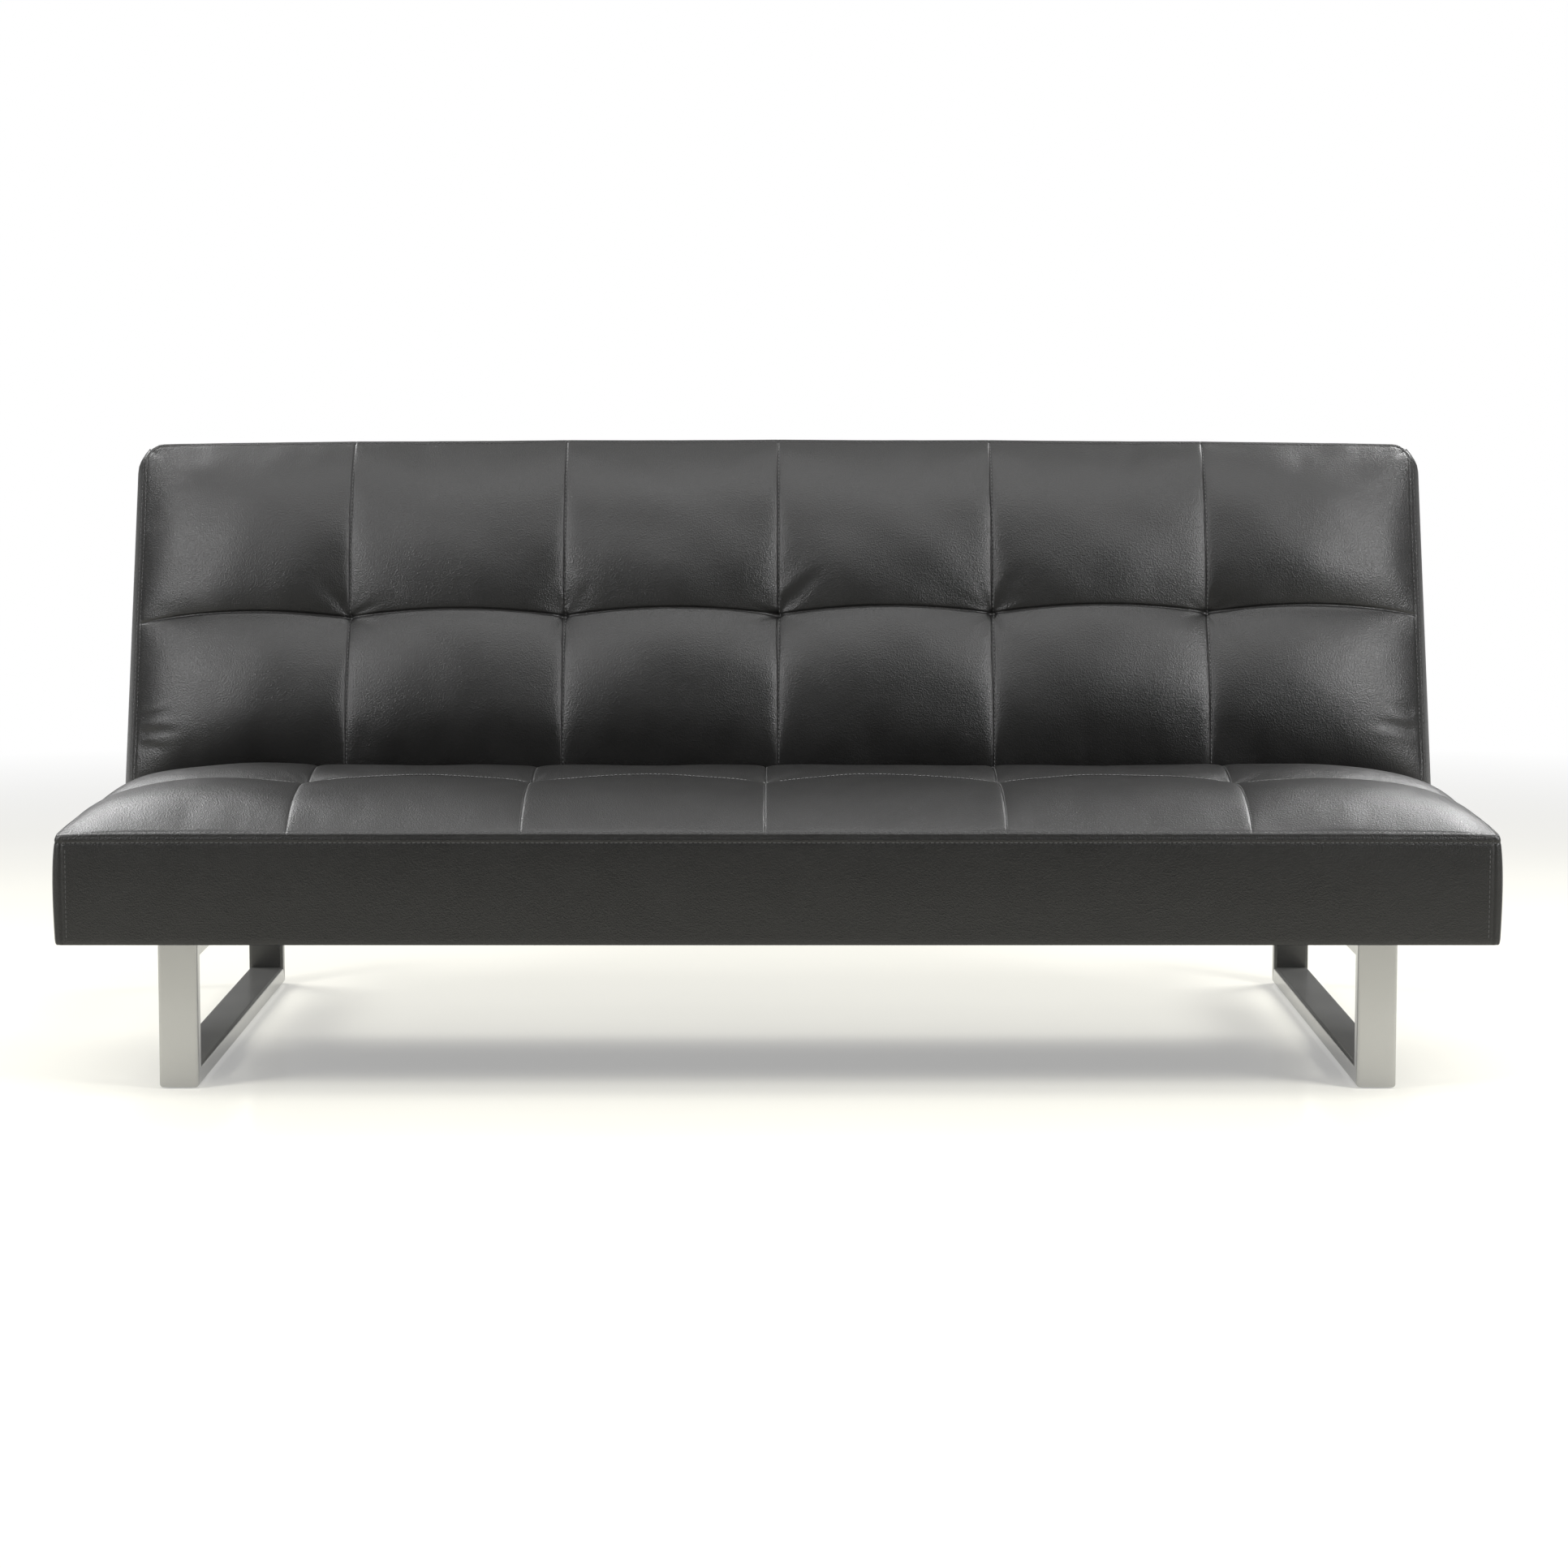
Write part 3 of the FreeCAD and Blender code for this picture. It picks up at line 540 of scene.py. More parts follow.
def inflate(panel):
    """Blows the quilted sheet out between its held seams. Gives each cell's displacement."""
    cells = len(panel.x_seams) - 1
    u_counts = [int(round(width / SIM_STEP)) for width in np.diff(panel.x_seams)]
    v_counts = [int(round((panel.row[0] - panel.near) / SIM_STEP)),
                int(round((panel.far - panel.row[0]) / SIM_STEP))]
    blocks, held = [[], []], [[], []]
    for side in (0, 1):
        for cell in range(cells):
            u_places = np.linspace(0, 1, u_counts[cell] + 1)
            v_places = np.linspace(0, 1, v_counts[side] + 1)
            u, v = np.meshgrid(u_places, v_places)
            x, y, height = panel.base(u, v, cell, side)
            blocks[side].append(np.stack([x, y, height], axis=2))
            pin = np.zeros(x.shape + (1,))
            pin[0], pin[-1], pin[:, 0], pin[:, -1] = 1, 1, 1, 1
            held[side].append(pin)
    grid = join_cells(blocks)
    pins = join_cells(held)[..., 0] > 0
    start = grid.copy()
    start[..., 0], start[..., 1] = panel.rounded(grid[..., 0], grid[..., 1])
    start[..., 2] += panel.flat_z(start[..., 1])
    rows, columns = pins.shape
    sheet = new_object(panel.name + "_sheet", start.reshape(-1, 3), grid_faces(rows, columns))
    group = sheet.vertex_groups.new(name="held")
    group.add([int(index) for index in np.flatnonzero(pins)], 1.0, "REPLACE")
    cloth_settings = sheet.modifiers.new("inflate", "CLOTH").settings
    cloth_settings.quality = 6
    cloth_settings.mass = 0.3
    cloth_settings.vertex_group_mass = "held"
    cloth_settings.tension_stiffness = 15
    cloth_settings.compression_stiffness = 15
    cloth_settings.shear_stiffness = 5
    cloth_settings.bending_stiffness = 0.5
    cloth_settings.use_pressure = True
    cloth_settings.uniform_pressure_force = 4
    cloth_settings.shrink_min = -0.012
    cloth_settings.effector_weights.gravity = 0
    for step in range(1, SIM_FRAMES + 1):
        scene.frame_set(step)
    depsgraph = bpy.context.evaluated_depsgraph_get()
    result = sheet.evaluated_get(depsgraph).data
    flat = np.zeros(len(result.vertices) * 3)
    result.vertices.foreach_get("co", flat)
    moved = flat.reshape(rows, columns, 3) - start
    for _ in range(CALM_PASSES):
        inner = moved[1:-1, 1:-1]
        around = (moved[:-2, 1:-1] + moved[2:, 1:-1] + moved[1:-1, :-2] + moved[1:-1, 2:]) / 4
        moved[1:-1, 1:-1] = np.where(pins[1:-1, 1:-1, None], inner, (inner + around) / 2)
    scene.frame_set(1)
    bpy.data.objects.remove(sheet)
    pieces = [[], []]
    row_start = 0
    for side in (0, 1):
        column_start = 0
        for cell in range(cells):
            block = moved[row_start:row_start + v_counts[side] + 1,
                          column_start:column_start + u_counts[cell] + 1]
            pieces[side].append(block)
            column_start += u_counts[cell]
        row_start += v_counts[side]
    return pieces


def soft_guess(u, v):
    """A stand-in for the simulation, used where no simulated displacement is given."""
    lift = 20 * MM * (np.sin(math.pi * u) * np.sin(math.pi * v)) ** 0.6
    return np.stack([np.zeros_like(u), np.zeros_like(u), lift], axis=2)


def quilted_face(panel):
    """The finished face: the inflated cells on a fine grid, with seams, folds and puckers."""
    cells = len(panel.x_seams) - 1
    moved = inflate(panel)
    blocks = [[], []]
    for side in (0, 1):
        for cell in range(cells):
            width = panel.x_seams[cell + 1] - panel.x_seams[cell]
            first = EDGE_STEPS if cell == 0 else SEAM_STEPS
            last = EDGE_STEPS if cell == cells - 1 else SEAM_STEPS
            depth = (panel.row[0] - panel.near, panel.far - panel.row[0])[side]
            u_places = spread(width, first, last, PLAIN_STEP) / width
            v_places = spread(depth, EDGE_STEPS if side == 0 else SEAM_STEPS,
                              SEAM_STEPS if side == 0 else EDGE_STEPS, PLAIN_STEP) / depth
            u, v = np.meshgrid(u_places, v_places)
            x, y, height = panel.base(u, v, cell, side)
            if moved is None:
                shift = soft_guess(u, v)
            else:
                block = moved[side][cell]
                across = cubic_weights(block.shape[1] - 1, u_places)
                up = cubic_weights(block.shape[0] - 1, v_places)
                shift = np.einsum("ij,jkc,lk->ilc", up, block, across)
            # foam keeps the leather fuller and flatter than air would
            shift = shift * np.array([1.0, 1.0, panel.sim_share[side]])
            swell = (np.sin(math.pi * u) * np.sin(math.pi * v)) ** 0.9
            off_row = (1 - v if side == 0 else v) * depth
            shift[..., 2] += (panel.shoulders[side] * (1 - np.exp(-off_row / SHOULDER_LENGTH))
                              * np.sin(math.pi * u) ** 0.5 * smooth((depth - off_row) / 0.12))
            middle = (height + shift[..., 2])[len(v_places) // 2, len(u_places) // 2]
            shift[..., 2] += (panel.peaks[side] - middle) * swell
            blocks[side].append(np.stack([x + shift[..., 0], y + shift[..., 1],
                                          height + shift[..., 2], x, y], axis=2))
    grid = join_cells(blocks)
    flat_x, flat_y = grid[..., 3], grid[..., 4]
    round_x, round_y = panel.rounded(flat_x, flat_y)
    points = np.stack([grid[..., 0] + round_x - flat_x, grid[..., 1] + round_y - flat_y,
                       grid[..., 2] + panel.flat_z(round_y)], axis=2)
    normals = grid_normals(points)
    lift = seam_relief(panel, flat_x, flat_y) + panel_folds(panel, flat_x, flat_y)
    points = points + normals * lift[..., None]
    return points, flat_x, flat_y


def seam_relief(panel, x, y):
    """Grooves at the quilting seams and the folded edge beside the top seam."""
    edge = panel.edge_distance(x, y)
    rim = (0.6 * MM * bump(edge - 2.4 * MM, 1.6 * MM) - 1.7 * MM * bump(edge, 1.0 * MM)
           - 0.7 * MM * bump(edge - 5.0 * MM, 1.3 * MM))
    inner = smooth(edge / (9 * MM))
    columns = np.abs(x[..., None] - panel.x_seams[1:-1]).min(axis=-1)
    row = y - panel.row_line(x)
    groove = np.minimum(-1.7 * MM * bump(columns, 0.8 * MM) - 0.35 * MM * bump(columns, 4 * MM),
                        -2.2 * MM * bump(row, 1.4 * MM) - 0.6 * MM * bump(row, 5 * MM))
    lip = panel.lip * bump(row - 2.6 * MM, 1.2 * MM) * smooth(columns / (9 * MM))
    return rim + (groove + lip) * inner


def panel_folds(panel, x, y):
    """Puckers round the tufts and a slight unevenness all over."""
    rng = np.random.default_rng(11 if panel.name == "seat" else 23)
    lift = np.zeros_like(x)
    for seam in panel.x_seams[1:-1]:
        seam_y = float(panel.row_line(np.array(seam)))
        dx, dy = x - seam, y - seam_y
        radius = np.hypot(dx, dy)
        angle = np.arctan2(dy, dx)
        for quarter in range(4):
            middle = (quarter + 0.5) * math.pi / 2
            for _ in range(3):
                turn = middle + rng.uniform(-0.55, 0.55)
                length = rng.uniform(28, 62) * MM
                depth = rng.uniform(0.5, 1.3) * MM
                sweep = np.abs((angle - turn + math.pi) % (2 * math.pi) - math.pi)
                across = radius * np.sin(np.minimum(sweep, math.pi / 2))
                band = bump(across, 3.2 * MM + 0.05 * radius)
                reach = bump(radius - 0.3 * length, 0.55 * length)
                ahead = sweep < math.pi / 2
                lift -= np.where(ahead, depth * band * reach, 0)
    for start, end, depth, width in panel.creases:
        length = math.dist(start, end)
        ahead = ((end[0] - start[0]) / length, (end[1] - start[1]) / length)
        along = (x - start[0]) * ahead[0] + (y - start[1]) * ahead[1]
        aside = (y - start[1]) * ahead[0] - (x - start[0]) * ahead[1]
        reach = smooth(along / (0.15 * length)) * smooth((length - along) / (0.6 * length))
        lift += depth * reach * (0.6 * bump(aside - 1.7 * width, width) - bump(aside, width))
    for _ in range(14):
        wave = rng.uniform(25, 75)
        turn = rng.uniform(0, math.pi)
        phase = rng.uniform(0, 2 * math.pi)
        lift += 0.16 * MM * np.sin(wave * (x * math.cos(turn) + y * math.sin(turn)) + phase)
    edge = panel.edge_distance(x, y)
    return lift * smooth(edge / (12 * MM))


def ring(grid):
    """The grid's boundary as one loop, each corner once."""
    return np.concatenate([grid[0, :-1], grid[:-1, -1], grid[-1, :0:-1], grid[:0:-1, 0]])


def ring_indices(rows, columns):
    index = np.arange(rows * columns).reshape(rows, columns)
    return ring(index)


REAR_RING = 23  # the back's second seam, near its rear face
WALL_STEPS = np.array([0.8, 1.8, 3.0, 4.5, 6.0, 7.4, 8.5, 9.6, 11.5, 15, 21, 29, 38, 48, 58, 68,
                       78, 88, 97, 104, 110, 115, 119, 122, 125, 127.5, 129.5, 131, 132, 133]) * MM


UNDER_HEIGHT = 9 * MM   # the rounding at the foot of the border strip
UNDER_INSET = 1.5 * MM


def wall_rings(panel, loop):
    """The border strip, ring by ring from the top seam down to the rim of the base."""
    # outward direction in plan
    ahead = np.roll(loop, -1, axis=0) - np.roll(loop, 1, axis=0)
    outward = np.stack([ahead[:, 1], -ahead[:, 0]], axis=1)
    outward /= np.linalg.norm(outward, axis=1, keepdims=True)
    side = np.abs(outward[:, 0]) ** 2
    near = np.where(outward[:, 1] < 0, outward[:, 1] ** 2, 0)
    far = np.where(outward[:, 1] > 0, outward[:, 1] ** 2, 0)
    wall = panel.wall
    step_out = side * wall["side"][0] + near * wall["near"][0] + far * wall["far"][0]
    belly = side * wall["side"][1] + near * wall["near"][1] + far * wall["far"][1]
    quick_out = side * wall["side"][2] + near * wall["near"][2] + far * wall["far"][2]
    depth = WALL_STEPS[-1]
    rings = []
    top = loop[:, 2]
    joint = corner_joint(panel, loop)
    for step in WALL_STEPS:
        t = step / depth
        out = step_out * (1 - np.exp(-step / quick_out)) + belly * np.sin(math.pi * t ** 0.9)
        under = max(0.0, 1 - (depth - step) / UNDER_HEIGHT)
        out = out - UNDER_INSET * (1 - math.sqrt(max(0.0, 1 - under ** 2)))
        relief = (0.5 * MM * bump(step - 3.6 * MM, 2.6 * MM)
                  - 0.5 * MM * bump(step - 7.4 * MM, 1.4 * MM))
        if panel.rear_seam:
            relief -= 0.9 * MM * bump(step - WALL_STEPS[REAR_RING], 1.8 * MM)
        out = out + relief - 1.5 * MM * bump(joint, 1.3 * MM) * smooth(step / (6 * MM))
        z = top + (BASE_Z - top) * t
        rings.append(np.stack([loop[:, 0] + outward[:, 0] * out,
                               loop[:, 1] + outward[:, 1] * out, z], axis=1))
    return rings, outward


def corner_joint(panel, loop):
    """How far each point of the loop is from the border's upright seam at an outer corner."""
    if not panel.corner_seams:
        return np.full(len(loop), 1.0)
    start = panel.x_seams[-1] - panel.radii[1]
    on_front = loop[:, 1] > panel.far - panel.radii[1] * 0.5
    return np.where(on_front, np.abs(np.abs(loop[:, 0]) - start), 1.0)


# ---- stitches ----

STITCH_TURNS = 6


class Thread:
    """Collects single stitches, each a short closed capsule of thread, into one mesh."""

    def __init__(self):
        self.points = []
        self.faces = []

    def line(self, path, normals, length=4.4 * MM, gap=1.7 * MM, radius=0.42 * MM, slant=0.0):
        path = np.asarray(path, float)
        normals = np.asarray(normals, float)
        steps = np.linalg.norm(np.diff(path, axis=0), axis=1)
        travelled = np.concatenate([[0], np.cumsum(steps)])
        count = int((travelled[-1] - gap) / (length + gap))
        if count < 1:
            return
        pitch = travelled[-1] / count
        share = length / (length + gap)

        def sample(values, places):
            return np.stack([np.interp(places, travelled, values[:, axis]) for axis in range(3)],
                            axis=1)

        starts = (np.arange(count) + 0.5 * (1 - share)) * pitch
        ends = starts + share * pitch
        first, last = sample(path, starts), sample(path, ends)
        normal = sample(normals, (starts + ends) / 2)
        normal /= np.linalg.norm(normal, axis=1, keepdims=True)
        along = last - first
        along /= np.maximum(np.linalg.norm(along, axis=1, keepdims=True), 1e-9)
        across = np.cross(along, normal)
        first = first - across * slant * radius
        last = last + across * slant * radius
        for place, size, lift in ((0.0, 0.35, -0.7), (0.12, 0.85, 0.15), (0.35, 1.0, 0.55),
                                  (0.65, 1.0, 0.55), (0.88, 0.85, 0.15), (1.0, 0.35, -0.7)):
            centre = first + (last - first) * place + normal * lift * radius
            for turn in range(STITCH_TURNS):
                angle = 2 * math.pi * turn / STITCH_TURNS
                self.points.append(centre + radius * size * (math.cos(angle) * across
                                                              + math.sin(angle) * normal))
        self.close(count)

    def close(self, count):
        """Turns the last 6 rings of points, held stitch by stitch, into faces."""
        rings = self.points[-6 * STITCH_TURNS:]
        del self.points[-6 * STITCH_TURNS:]
        block = np.stack(rings, axis=1)
        start = sum(len(part) for part in self.points)
        self.points.append(block.reshape(-1, 3))
        per = 6 * STITCH_TURNS
        for stitch in range(count):
            base = start + stitch * per
            for step in range(5):
                for turn in range(STITCH_TURNS):
                    following = (turn + 1) % STITCH_TURNS
                    low = base + step * STITCH_TURNS
                    self.faces.append((low + turn, low + following,
                                       low + STITCH_TURNS + following, low + STITCH_TURNS + turn))
            self.faces.append(tuple(base + turn for turn in reversed(range(STITCH_TURNS))))
            self.faces.append(tuple(base + 5 * STITCH_TURNS + turn
                                    for turn in range(STITCH_TURNS)))

    def finish(self, name, panel, material):
        piece = new_object(name, panel.place(np.concatenate(self.points)), self.faces)
        finish_mesh(piece, material)
        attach(piece, panel.body)
        return piece


def closed(loop):
    return np.concatenate([loop, loop[:1]])


def sew(panel, points, rings, outward, x, y):
    """Topstitching round the top seam and along the quilting seams."""
    normals = grid_normals(points)
    flat = np.concatenate([outward, np.zeros((len(outward), 1))], axis=1)
    edge = Thread()
    inset = 4
    edge.line(closed(ring(points[inset:-inset, inset:-inset])),
              closed(ring(normals[inset:-inset, inset:-inset])))
    edge.line(closed(rings[5]), closed(flat))
    if panel.rear_seam:
        edge.line(closed(rings[REAR_RING - 2]), closed(flat))
    if panel.corner_seams:
        loop = rings[0]
        for sign in (-1, 1):
            target = panel.x_seams[-1] - panel.radii[1] - 5 * MM
            spot = np.argmin(np.hypot(loop[:, 0] - sign * target,
                                      (loop[:, 1] - panel.far) * 3))
            stack = np.array([level[spot] for level in rings[9:-5]])
            edge.line(stack, np.repeat(flat[spot][None], len(stack), axis=0))
    edge.finish(panel.name + "_edge_stitching", panel, EDGE_THREAD)
    quilting = Thread()
    for seam in panel.x_seams[1:-1]:
        column = int(np.argmin(np.abs(x[0] - seam))) + 1
        quilting.line(points[10:-10, column], normals[10:-10, column], length=3.6 * MM,
                      gap=2.2 * MM, radius=0.36 * MM)
    if panel.lip:
        line = int(np.argmin(np.abs(y[:, 0] - panel.row[0]))) + 3
        quilting.line(points[line, 14:-14], normals[line, 14:-14], length=4.4 * MM,
                      gap=1.2 * MM, radius=0.5 * MM)
    quilting.finish(panel.name + "_quilting_stitches", panel, QUILTING_THREAD)


def make_cushion(panel, replaced, rear_face):
    points, x, y = quilted_face(panel)
    rows, columns = points.shape[:2]
    loop = ring(points)
    rings, outward = wall_rings(panel, loop)
    vertices = [points.reshape(-1, 3), *rings]
    faces = grid_faces(rows, columns)
    above = [int(index) for index in ring_indices(rows, columns)]
    start = rows * columns
    count = len(loop)
    for _ in rings:
        below = list(range(start, start + count))
        for index in range(count):
            following = (index + 1) % count
            faces.append((above[following], above[index], below[index], below[following]))
        above = below
        start += count
    # the base: the face's own grid drawn in to the last ring
    rim = rings[-1]
    flat = rear_grid(panel, rim, x, y, rear_face)
    inner = flat[1:-1, 1:-1].reshape(-1, 3)
    vertices.append(inner)
    index = np.full((rows, columns), -1)
    index[1:-1, 1:-1] = start + np.arange(inner.shape[0]).reshape(rows - 2, columns - 2)
    row_of, column_of = boundary_places(rows, columns)
    index[row_of, column_of] = above
    for row in range(rows - 1):
        for column in range(columns - 1):
            faces.append((int(index[row, column]), int(index[row + 1, column]),
                          int(index[row + 1, column + 1]), int(index[row, column + 1])))
    vertices = np.concatenate(vertices)
    piece = new_object(panel.name + "_cushion", panel.place(vertices), faces)
    finish_mesh(piece, LEATHER)
    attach(piece, panel.body)
    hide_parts(*replaced)
    sew(panel, points, rings, outward, x, y)


def boundary_places(rows, columns):
    row = np.repeat(np.arange(rows)[:, None], columns, axis=1)
    column = np.repeat(np.arange(columns)[None, :], rows, axis=0)
    return ring(row), ring(column)


def rear_grid(panel, rim, x, y, rear_face):
    """The base or rear face: slightly full if rear_face is above 0, else slightly hollow."""
    reach_x = np.abs(rim[:, 0]).max()
    low_y, high_y = rim[:, 1].min(), rim[:, 1].max()
    share_x = x / panel.x_seams[-1]
    share_y = (y - panel.near) / (panel.far - panel.near)
    flat_x = share_x * (reach_x - 0.5 * MM)
    flat_y = low_y + share_y * (high_y - low_y)
    edge = np.minimum(np.minimum(reach_x - np.abs(flat_x), flat_y - low_y), high_y - flat_y)
    height = np.full_like(x, BASE_Z)
    if rear_face > 0:
        # flat where it lies on the leg rails, a little full between them
        height -= rear_face * smooth(edge / (120 * MM)) * smooth((0.70 - np.abs(flat_x)) / 0.12)
    else:
        # a shallow recess, so that the dust cloth lies below the leather right to its hem
        height -= rear_face * smooth((edge - 4 * MM) / (8 * MM))
    near_radius, far_radius = panel.radii
    for edge_y, sign, radius in ((low_y, -1, near_radius), (high_y, 1, far_radius)):
        flat_x, flat_y = round_corners(flat_x, flat_y, reach_x, edge_y, sign, radius)
    return np.stack([flat_x, flat_y, height], axis=2)


def place_seat(points):
    points = np.asarray(points)
    return np.stack([points[..., 0], hinge.y - points[..., 1], hinge.z + points[..., 2]], axis=-1)


def place_back(points):
    points = np.asarray(points)
    c, s = math.cos(tilt), math.sin(tilt)
    return np.stack([points[..., 0], hinge.y + points[..., 1] * c - points[..., 2] * s,
                     hinge.z + points[..., 1] * s + points[..., 2] * c], axis=-1)


# creases in the back's leather: (x, y) of both ends, depth, half width
BACK_CREASES = [
    ((0.004, 0.276), (0.070, 0.330), 1.7 * MM, 9 * MM),
    ((0.296, 0.276), (0.345, 0.342), 0.9 * MM, 10 * MM),
    ((-0.288, 0.274), (-0.240, 0.318), 0.8 * MM, 10 * MM),
    ((-0.589, 0.272), (-0.645, 0.330), 0.9 * MM, 11 * MM),
    ((0.589, 0.280), (0.655, 0.300), 0.9 * MM, 10 * MM),
    ((-0.870, 0.124), (-0.812, 0.130), 2.0 * MM, 5 * MM),
    ((-0.872, 0.106), (-0.800, 0.103), 2.4 * MM, 5 * MM),
    ((-0.872, 0.088), (-0.815, 0.080), 2.0 * MM, 5 * MM),
    ((0.868, 0.132), (0.815, 0.140), 1.8 * MM, 6 * MM),
    ((0.870, 0.106), (0.790, 0.116), 2.2 * MM, 6 * MM),
]

# wall entries: (offset below the seam, belly, how fast it swells out)
SEAT = Panel("seat", "seat_base", place_seat, columns=(-0.609, -0.319, -0.016, 0.284, 0.588),
             row=(0.262, 0.262), reach=0.895, near=0.020, far=0.506, radii=(24 * MM, 8 * MM),
             bow=2 * MM, tuft=0.0400, arc=0.0512, peaks=(0.0495, 0.0470),
             column_crown=(0.0560, 0.0490), shoulders=(4.0 * MM, 1.0 * MM), corner_seams=True,
             lip=2.2 * MM, creases=[], seam_z=29 * MM, edge_rise=(0.78, 0.85),
             sim_share=(0.42, 0.22), arch=0.0, rear_seam=False,
             wall={"side": (3 * MM, 2 * MM, 16 * MM), "near": (12.5 * MM, 0.0, 9 * MM),
                   "far": (0.8 * MM, 2.5 * MM, 12 * MM)})
BACK = Panel("back", "backrest", place_back, columns=(-0.585, -0.292, 0.0, 0.292, 0.585),
             row=(0.262, 0.274), reach=0.878, near=0.020, far=0.523, radii=(14 * MM, 26 * MM),
             bow=6 * MM, tuft=0.030, arc=0.0470, peaks=(0.0545, 0.0540),
             column_crown=(0.0510, 0.0510), shoulders=(4.0 * MM, 4.5 * MM), corner_seams=False,
             lip=0.0, creases=BACK_CREASES, seam_z=25 * MM, edge_rise=(0.78, 0.55),
             sim_share=(0.42, 0.42), arch=6 * MM, rear_seam=True,
             wall={"side": (10 * MM, 11 * MM, 38 * MM), "near": (12.5 * MM, 0.0, 9 * MM),
                   "far": (2 * MM, 3 * MM, 12 * MM)})

DUST_SAG = 3 * MM
DUST_RECESS = 0.3 * MM  # room above the dust cloth in the seat's base
REAR_FULLNESS = 4 * MM


def make_dust_cloth():
    """The thin black cloth under the seat: it sags a little and is stapled round its edge."""
    low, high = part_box("seat_dust_cover")
    inset, hem = 14 * MM, 11 * MM
    xs = np.linspace(low.x + inset, high.x - inset, 150)
    ys = np.linspace(low.y + inset, high.y - inset, 48)
    x, y = np.meshgrid(xs, ys)
    edge = np.minimum(np.minimum(x - xs[0], xs[-1] - x), np.minimum(y - ys[0], ys[-1] - y))
    rng = np.random.default_rng(5)
    sag = DUST_SAG * smooth(edge / 0.11)
    for node in ("left_leg_top_rail", "right_leg_top_rail"):
        near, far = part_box(node)
        off = np.maximum(near.x - x, x - far.x)
        sag = np.where(off < 0, 0, sag * smooth(off / 0.08))
    for _ in range(9):
        turn, phase = rng.uniform(0, math.pi), rng.uniform(0, 6.3)
        sag = sag + 0.25 * MM * smooth(edge / 0.05) * smooth(sag / MM) * np.sin(
            rng.uniform(20, 60) * (x * math.cos(turn) + y * math.sin(turn)) + phase)
    fold = 0.2 * MM * smooth((hem - edge) / (1.5 * MM))
    under = low.z + 0.3 * MM - sag - fold
    over = np.full_like(x, low.z + 0.6 * MM) - np.maximum(sag - 0.3 * MM, 0)
    rows, columns = x.shape
    bottom = np.stack([x, y, under], axis=2).reshape(-1, 3)
    top = np.stack([x, y, over], axis=2).reshape(-1, 3)
    faces = grid_faces(rows, columns)
    faces += [tuple(reversed(face)) for face in grid_faces(rows, columns, rows * columns)]
    edge_loop = [int(index) for index in ring_indices(rows, columns)]
    for index, corner in enumerate(edge_loop):
        following = edge_loop[(index + 1) % len(edge_loop)]
        faces.append((corner, following, following + rows * columns, corner + rows * columns))
    piece = new_object("seat_dust_cloth", np.concatenate([bottom, top]), faces)
    finish_mesh(piece, DUST)
    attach(piece, "seat_base")
    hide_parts("seat_dust_cover")


dress_nodes()
make_dust_cloth()
make_cushion(
    SEAT, ["seat_quilted_cover", "seat_border_cover", "seat_foam", "seat_edge_padding",
           "seat_felt_pad"], -DUST_RECESS)
make_cushion(
    BACK, ["back_quilted_cover", "back_border_cover", "back_foam", "back_edge_padding",
           "back_felt_pad", "back_rear_cover"], REAR_FULLNESS)


# ---- floor, light and camera ----

FLOOR_FRONT = -2.8
FLOOR_REACH = 30
FLOOR_GLOW = 0.35
FLOOR_COLOURS = [(0.3, (0.90, 0.88, 0.77)), (0.7, (0.92, 0.90, 0.79))]


def make_floor():
    """A pale floor, lit from within a little, that fades to white away from the sofa."""
    floor = new_object("studio_floor",
                       [(-FLOOR_REACH, FLOOR_FRONT, 0), (FLOOR_REACH, FLOOR_FRONT, 0),
                        (FLOOR_REACH, FLOOR_REACH, 0), (-FLOOR_REACH, FLOOR_REACH, 0)],
                       [(0, 1, 2, 3)])
    n = Nodes("pale_floor")
    n.set(Roughness=0.12)
    n.link(n.colours(n.noise(3.0, 3.0, 0.5), FLOOR_COLOURS), n.shader.inputs["Base Color"])
    glow = n.add("ShaderNodeEmission")
    glow.inputs["Color"].default_value = (1, 1, 1, 1)
    distance = n.add("ShaderNodeVectorMath", operation="LENGTH")
    n.link(n.place, distance.inputs[0])
    far = n.ramp(distance.outputs["Value"], FLOOR_GLOW, 1.0, 1.6, 4.5)
    mix = n.add("ShaderNodeMixShader")
    n.link(far, mix.inputs["Fac"])
    n.link(n.shader.outputs["BSDF"], mix.inputs[1])
    n.link(glow.outputs["Emission"], mix.inputs[2])
    n.link(mix.outputs["Shader"], n.tree.nodes["Material Output"].inputs["Surface"])
    floor.data.materials.append(n.material)


WORLD_TOP = 2.2
# (how far up, from level to overhead; how bright)
WORLD_BANDS = [(0.0, 0.06), (0.2, 0.10), (0.42, 0.26), (0.6, 0.5), (0.9, 1.2)]


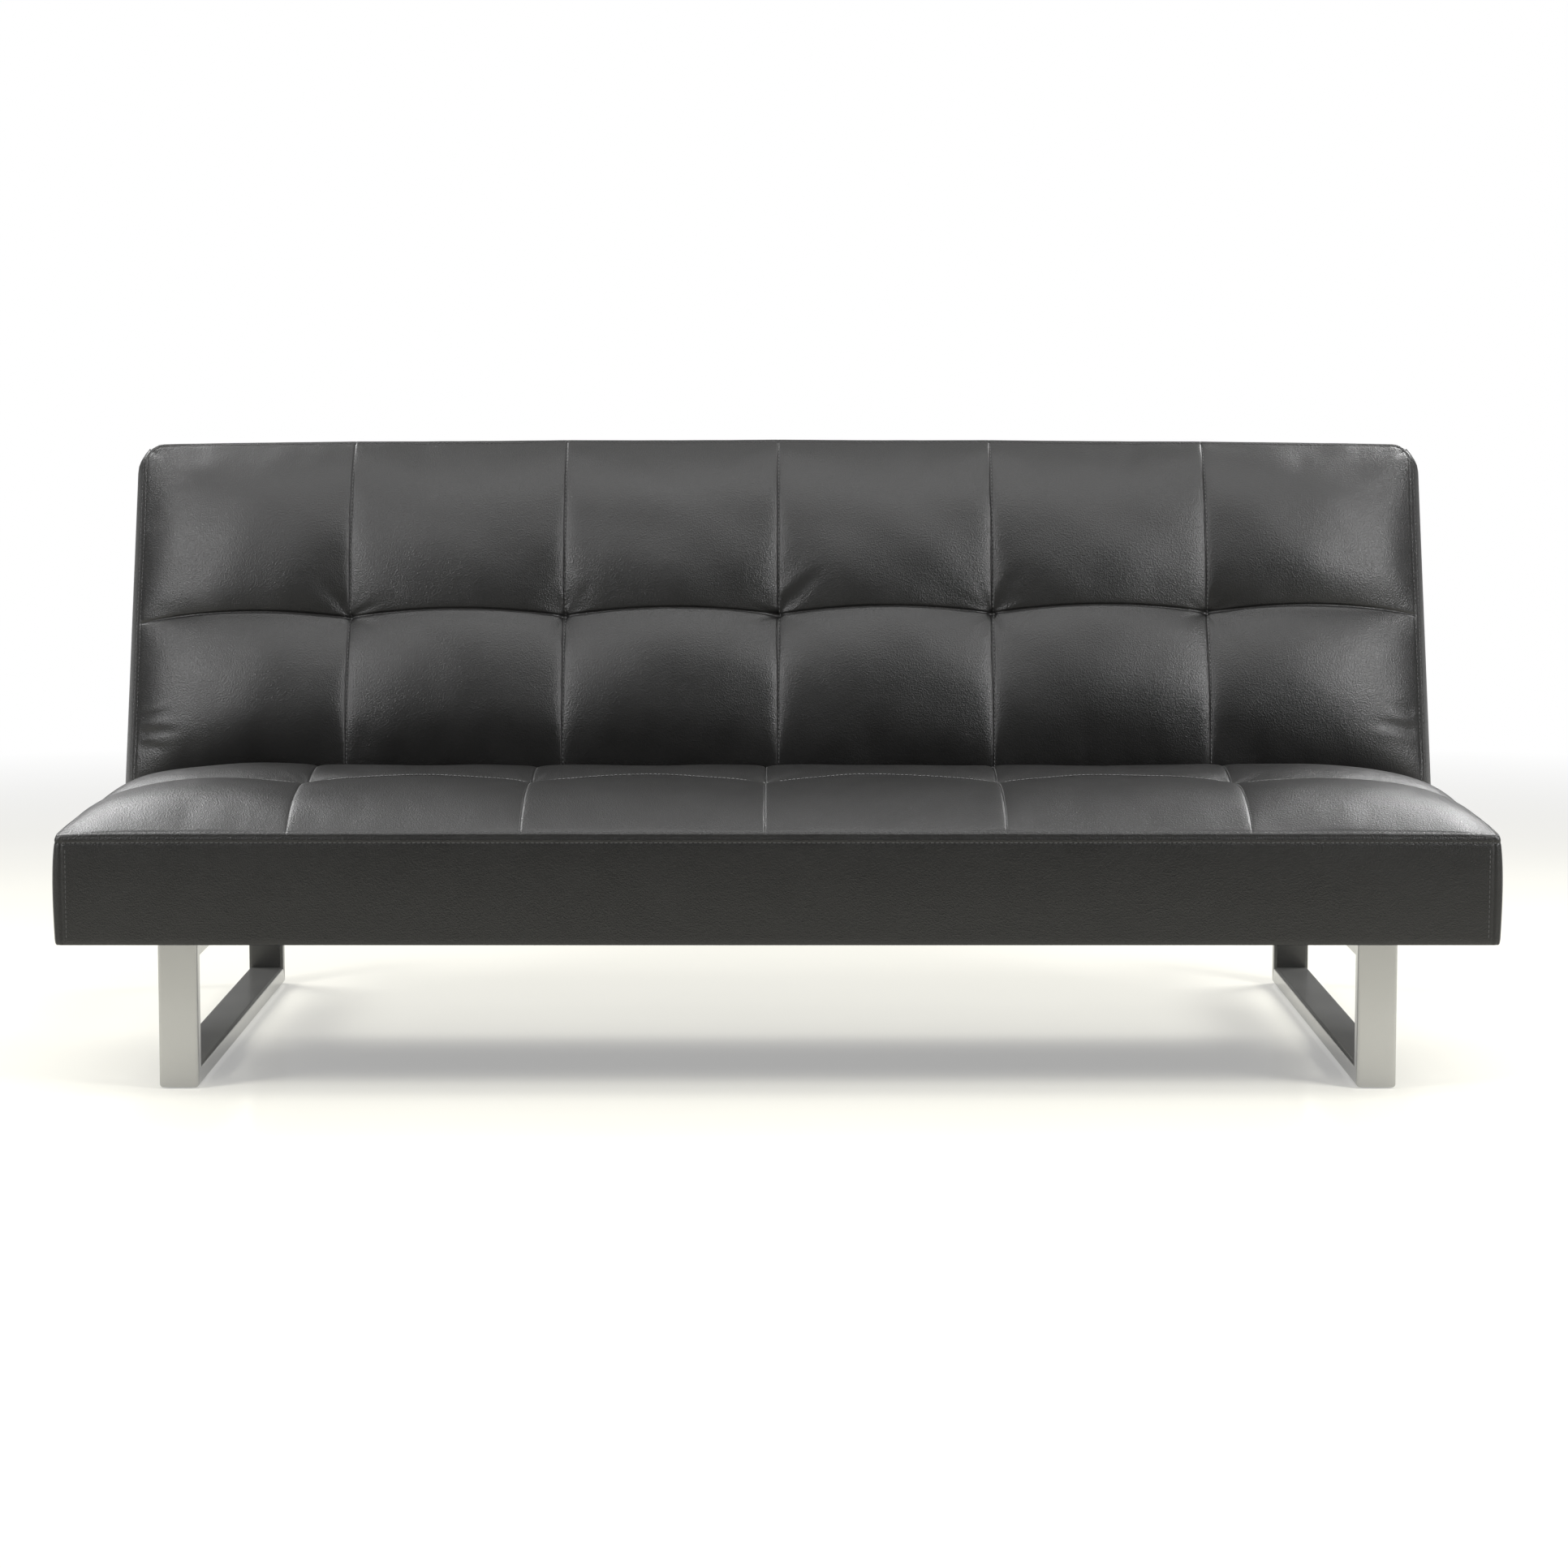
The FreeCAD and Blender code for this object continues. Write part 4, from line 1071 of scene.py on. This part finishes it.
def make_world():
    """A white studio: dim in front at eye level and brighter overhead, white behind the sofa."""
    world = bpy.data.worlds.new("studio")
    scene.world = world
    world.use_nodes = True
    tree = world.node_tree
    tree.nodes.clear()
    seen = tree.nodes.new("ShaderNodeBackground")
    seen.inputs["Color"].default_value = (1, 1, 1, 1)
    lit = tree.nodes.new("ShaderNodeBackground")
    lit.inputs["Strength"].default_value = WORLD_TOP
    path = tree.nodes.new("ShaderNodeLightPath")
    mix = tree.nodes.new("ShaderNodeMixShader")
    output = tree.nodes.new("ShaderNodeOutputWorld")
    place = tree.nodes.new("ShaderNodeTexCoord")
    split = tree.nodes.new("ShaderNodeSeparateXYZ")
    band = tree.nodes.new("ShaderNodeValToRGB")
    ramp = band.color_ramp
    while len(ramp.elements) < len(WORLD_BANDS):
        ramp.elements.new(0.5)
    for element, (height, level) in zip(ramp.elements, WORLD_BANDS):
        element.position = height
        element.color = (level / WORLD_TOP, level / WORLD_TOP, level / WORLD_TOP * 0.99, 1)
    links = tree.links
    links.new(place.outputs["Generated"], split.inputs["Vector"])
    links.new(split.outputs["Z"], band.inputs["Fac"])
    links.new(band.outputs["Color"], lit.inputs["Color"])
    links.new(path.outputs["Is Camera Ray"], mix.inputs["Fac"])
    links.new(lit.outputs["Background"], mix.inputs[1])
    links.new(seen.outputs["Background"], mix.inputs[2])
    links.new(mix.outputs["Shader"], output.inputs["Surface"])


def soft_light(name, place, aim, size, power):
    lamp = bpy.data.lights.new(name, "AREA")
    lamp.shape = "RECTANGLE"
    lamp.size, lamp.size_y = size
    lamp.energy = power
    holder = bpy.data.objects.new(name, lamp)
    scene.collection.objects.link(holder)
    holder.location = place
    holder.rotation_euler = (Vector(aim) - Vector(place)).to_track_quat("-Z", "Y").to_euler()


SENSOR_WIDTH = 36.0
FOCAL_LENGTH = 93.1677
CAMERA_PLACE = (0.008, -5.465, 0.900)
CAMERA_PITCH = 5.80  # degrees below level


def make_camera():
    lens = bpy.data.cameras.new("camera")
    lens.sensor_width = SENSOR_WIDTH
    lens.lens = FOCAL_LENGTH
    lens.clip_end = 200
    camera = bpy.data.objects.new("camera", lens)
    scene.collection.objects.link(camera)
    camera.location = CAMERA_PLACE
    camera.rotation_euler = (math.radians(90 - CAMERA_PITCH), 0, 0)
    scene.camera = camera


scene.view_settings.view_transform = "Standard"
scene.view_settings.look = "None"
make_floor()
make_world()
soft_light("overhead", (0.0, -0.7, 2.6), (0, 0, 0.4), (2.8, 0.9), 32)
soft_light("left_front", (-2.5, -1.7, 1.9), (-0.6, 0.1, 0.55), (0.9, 0.9), 72)
soft_light("right_front", (2.5, -1.7, 1.9), (0.6, 0.1, 0.55), (0.9, 0.9), 92)
soft_light("left_rear", (-1.9, 1.2, 2.0), (-0.7, -0.2, 0.38), (0.9, 0.9), 54)
soft_light("right_rear", (1.9, 1.2, 2.0), (0.7, -0.2, 0.38), (0.9, 0.9), 62)
make_camera()
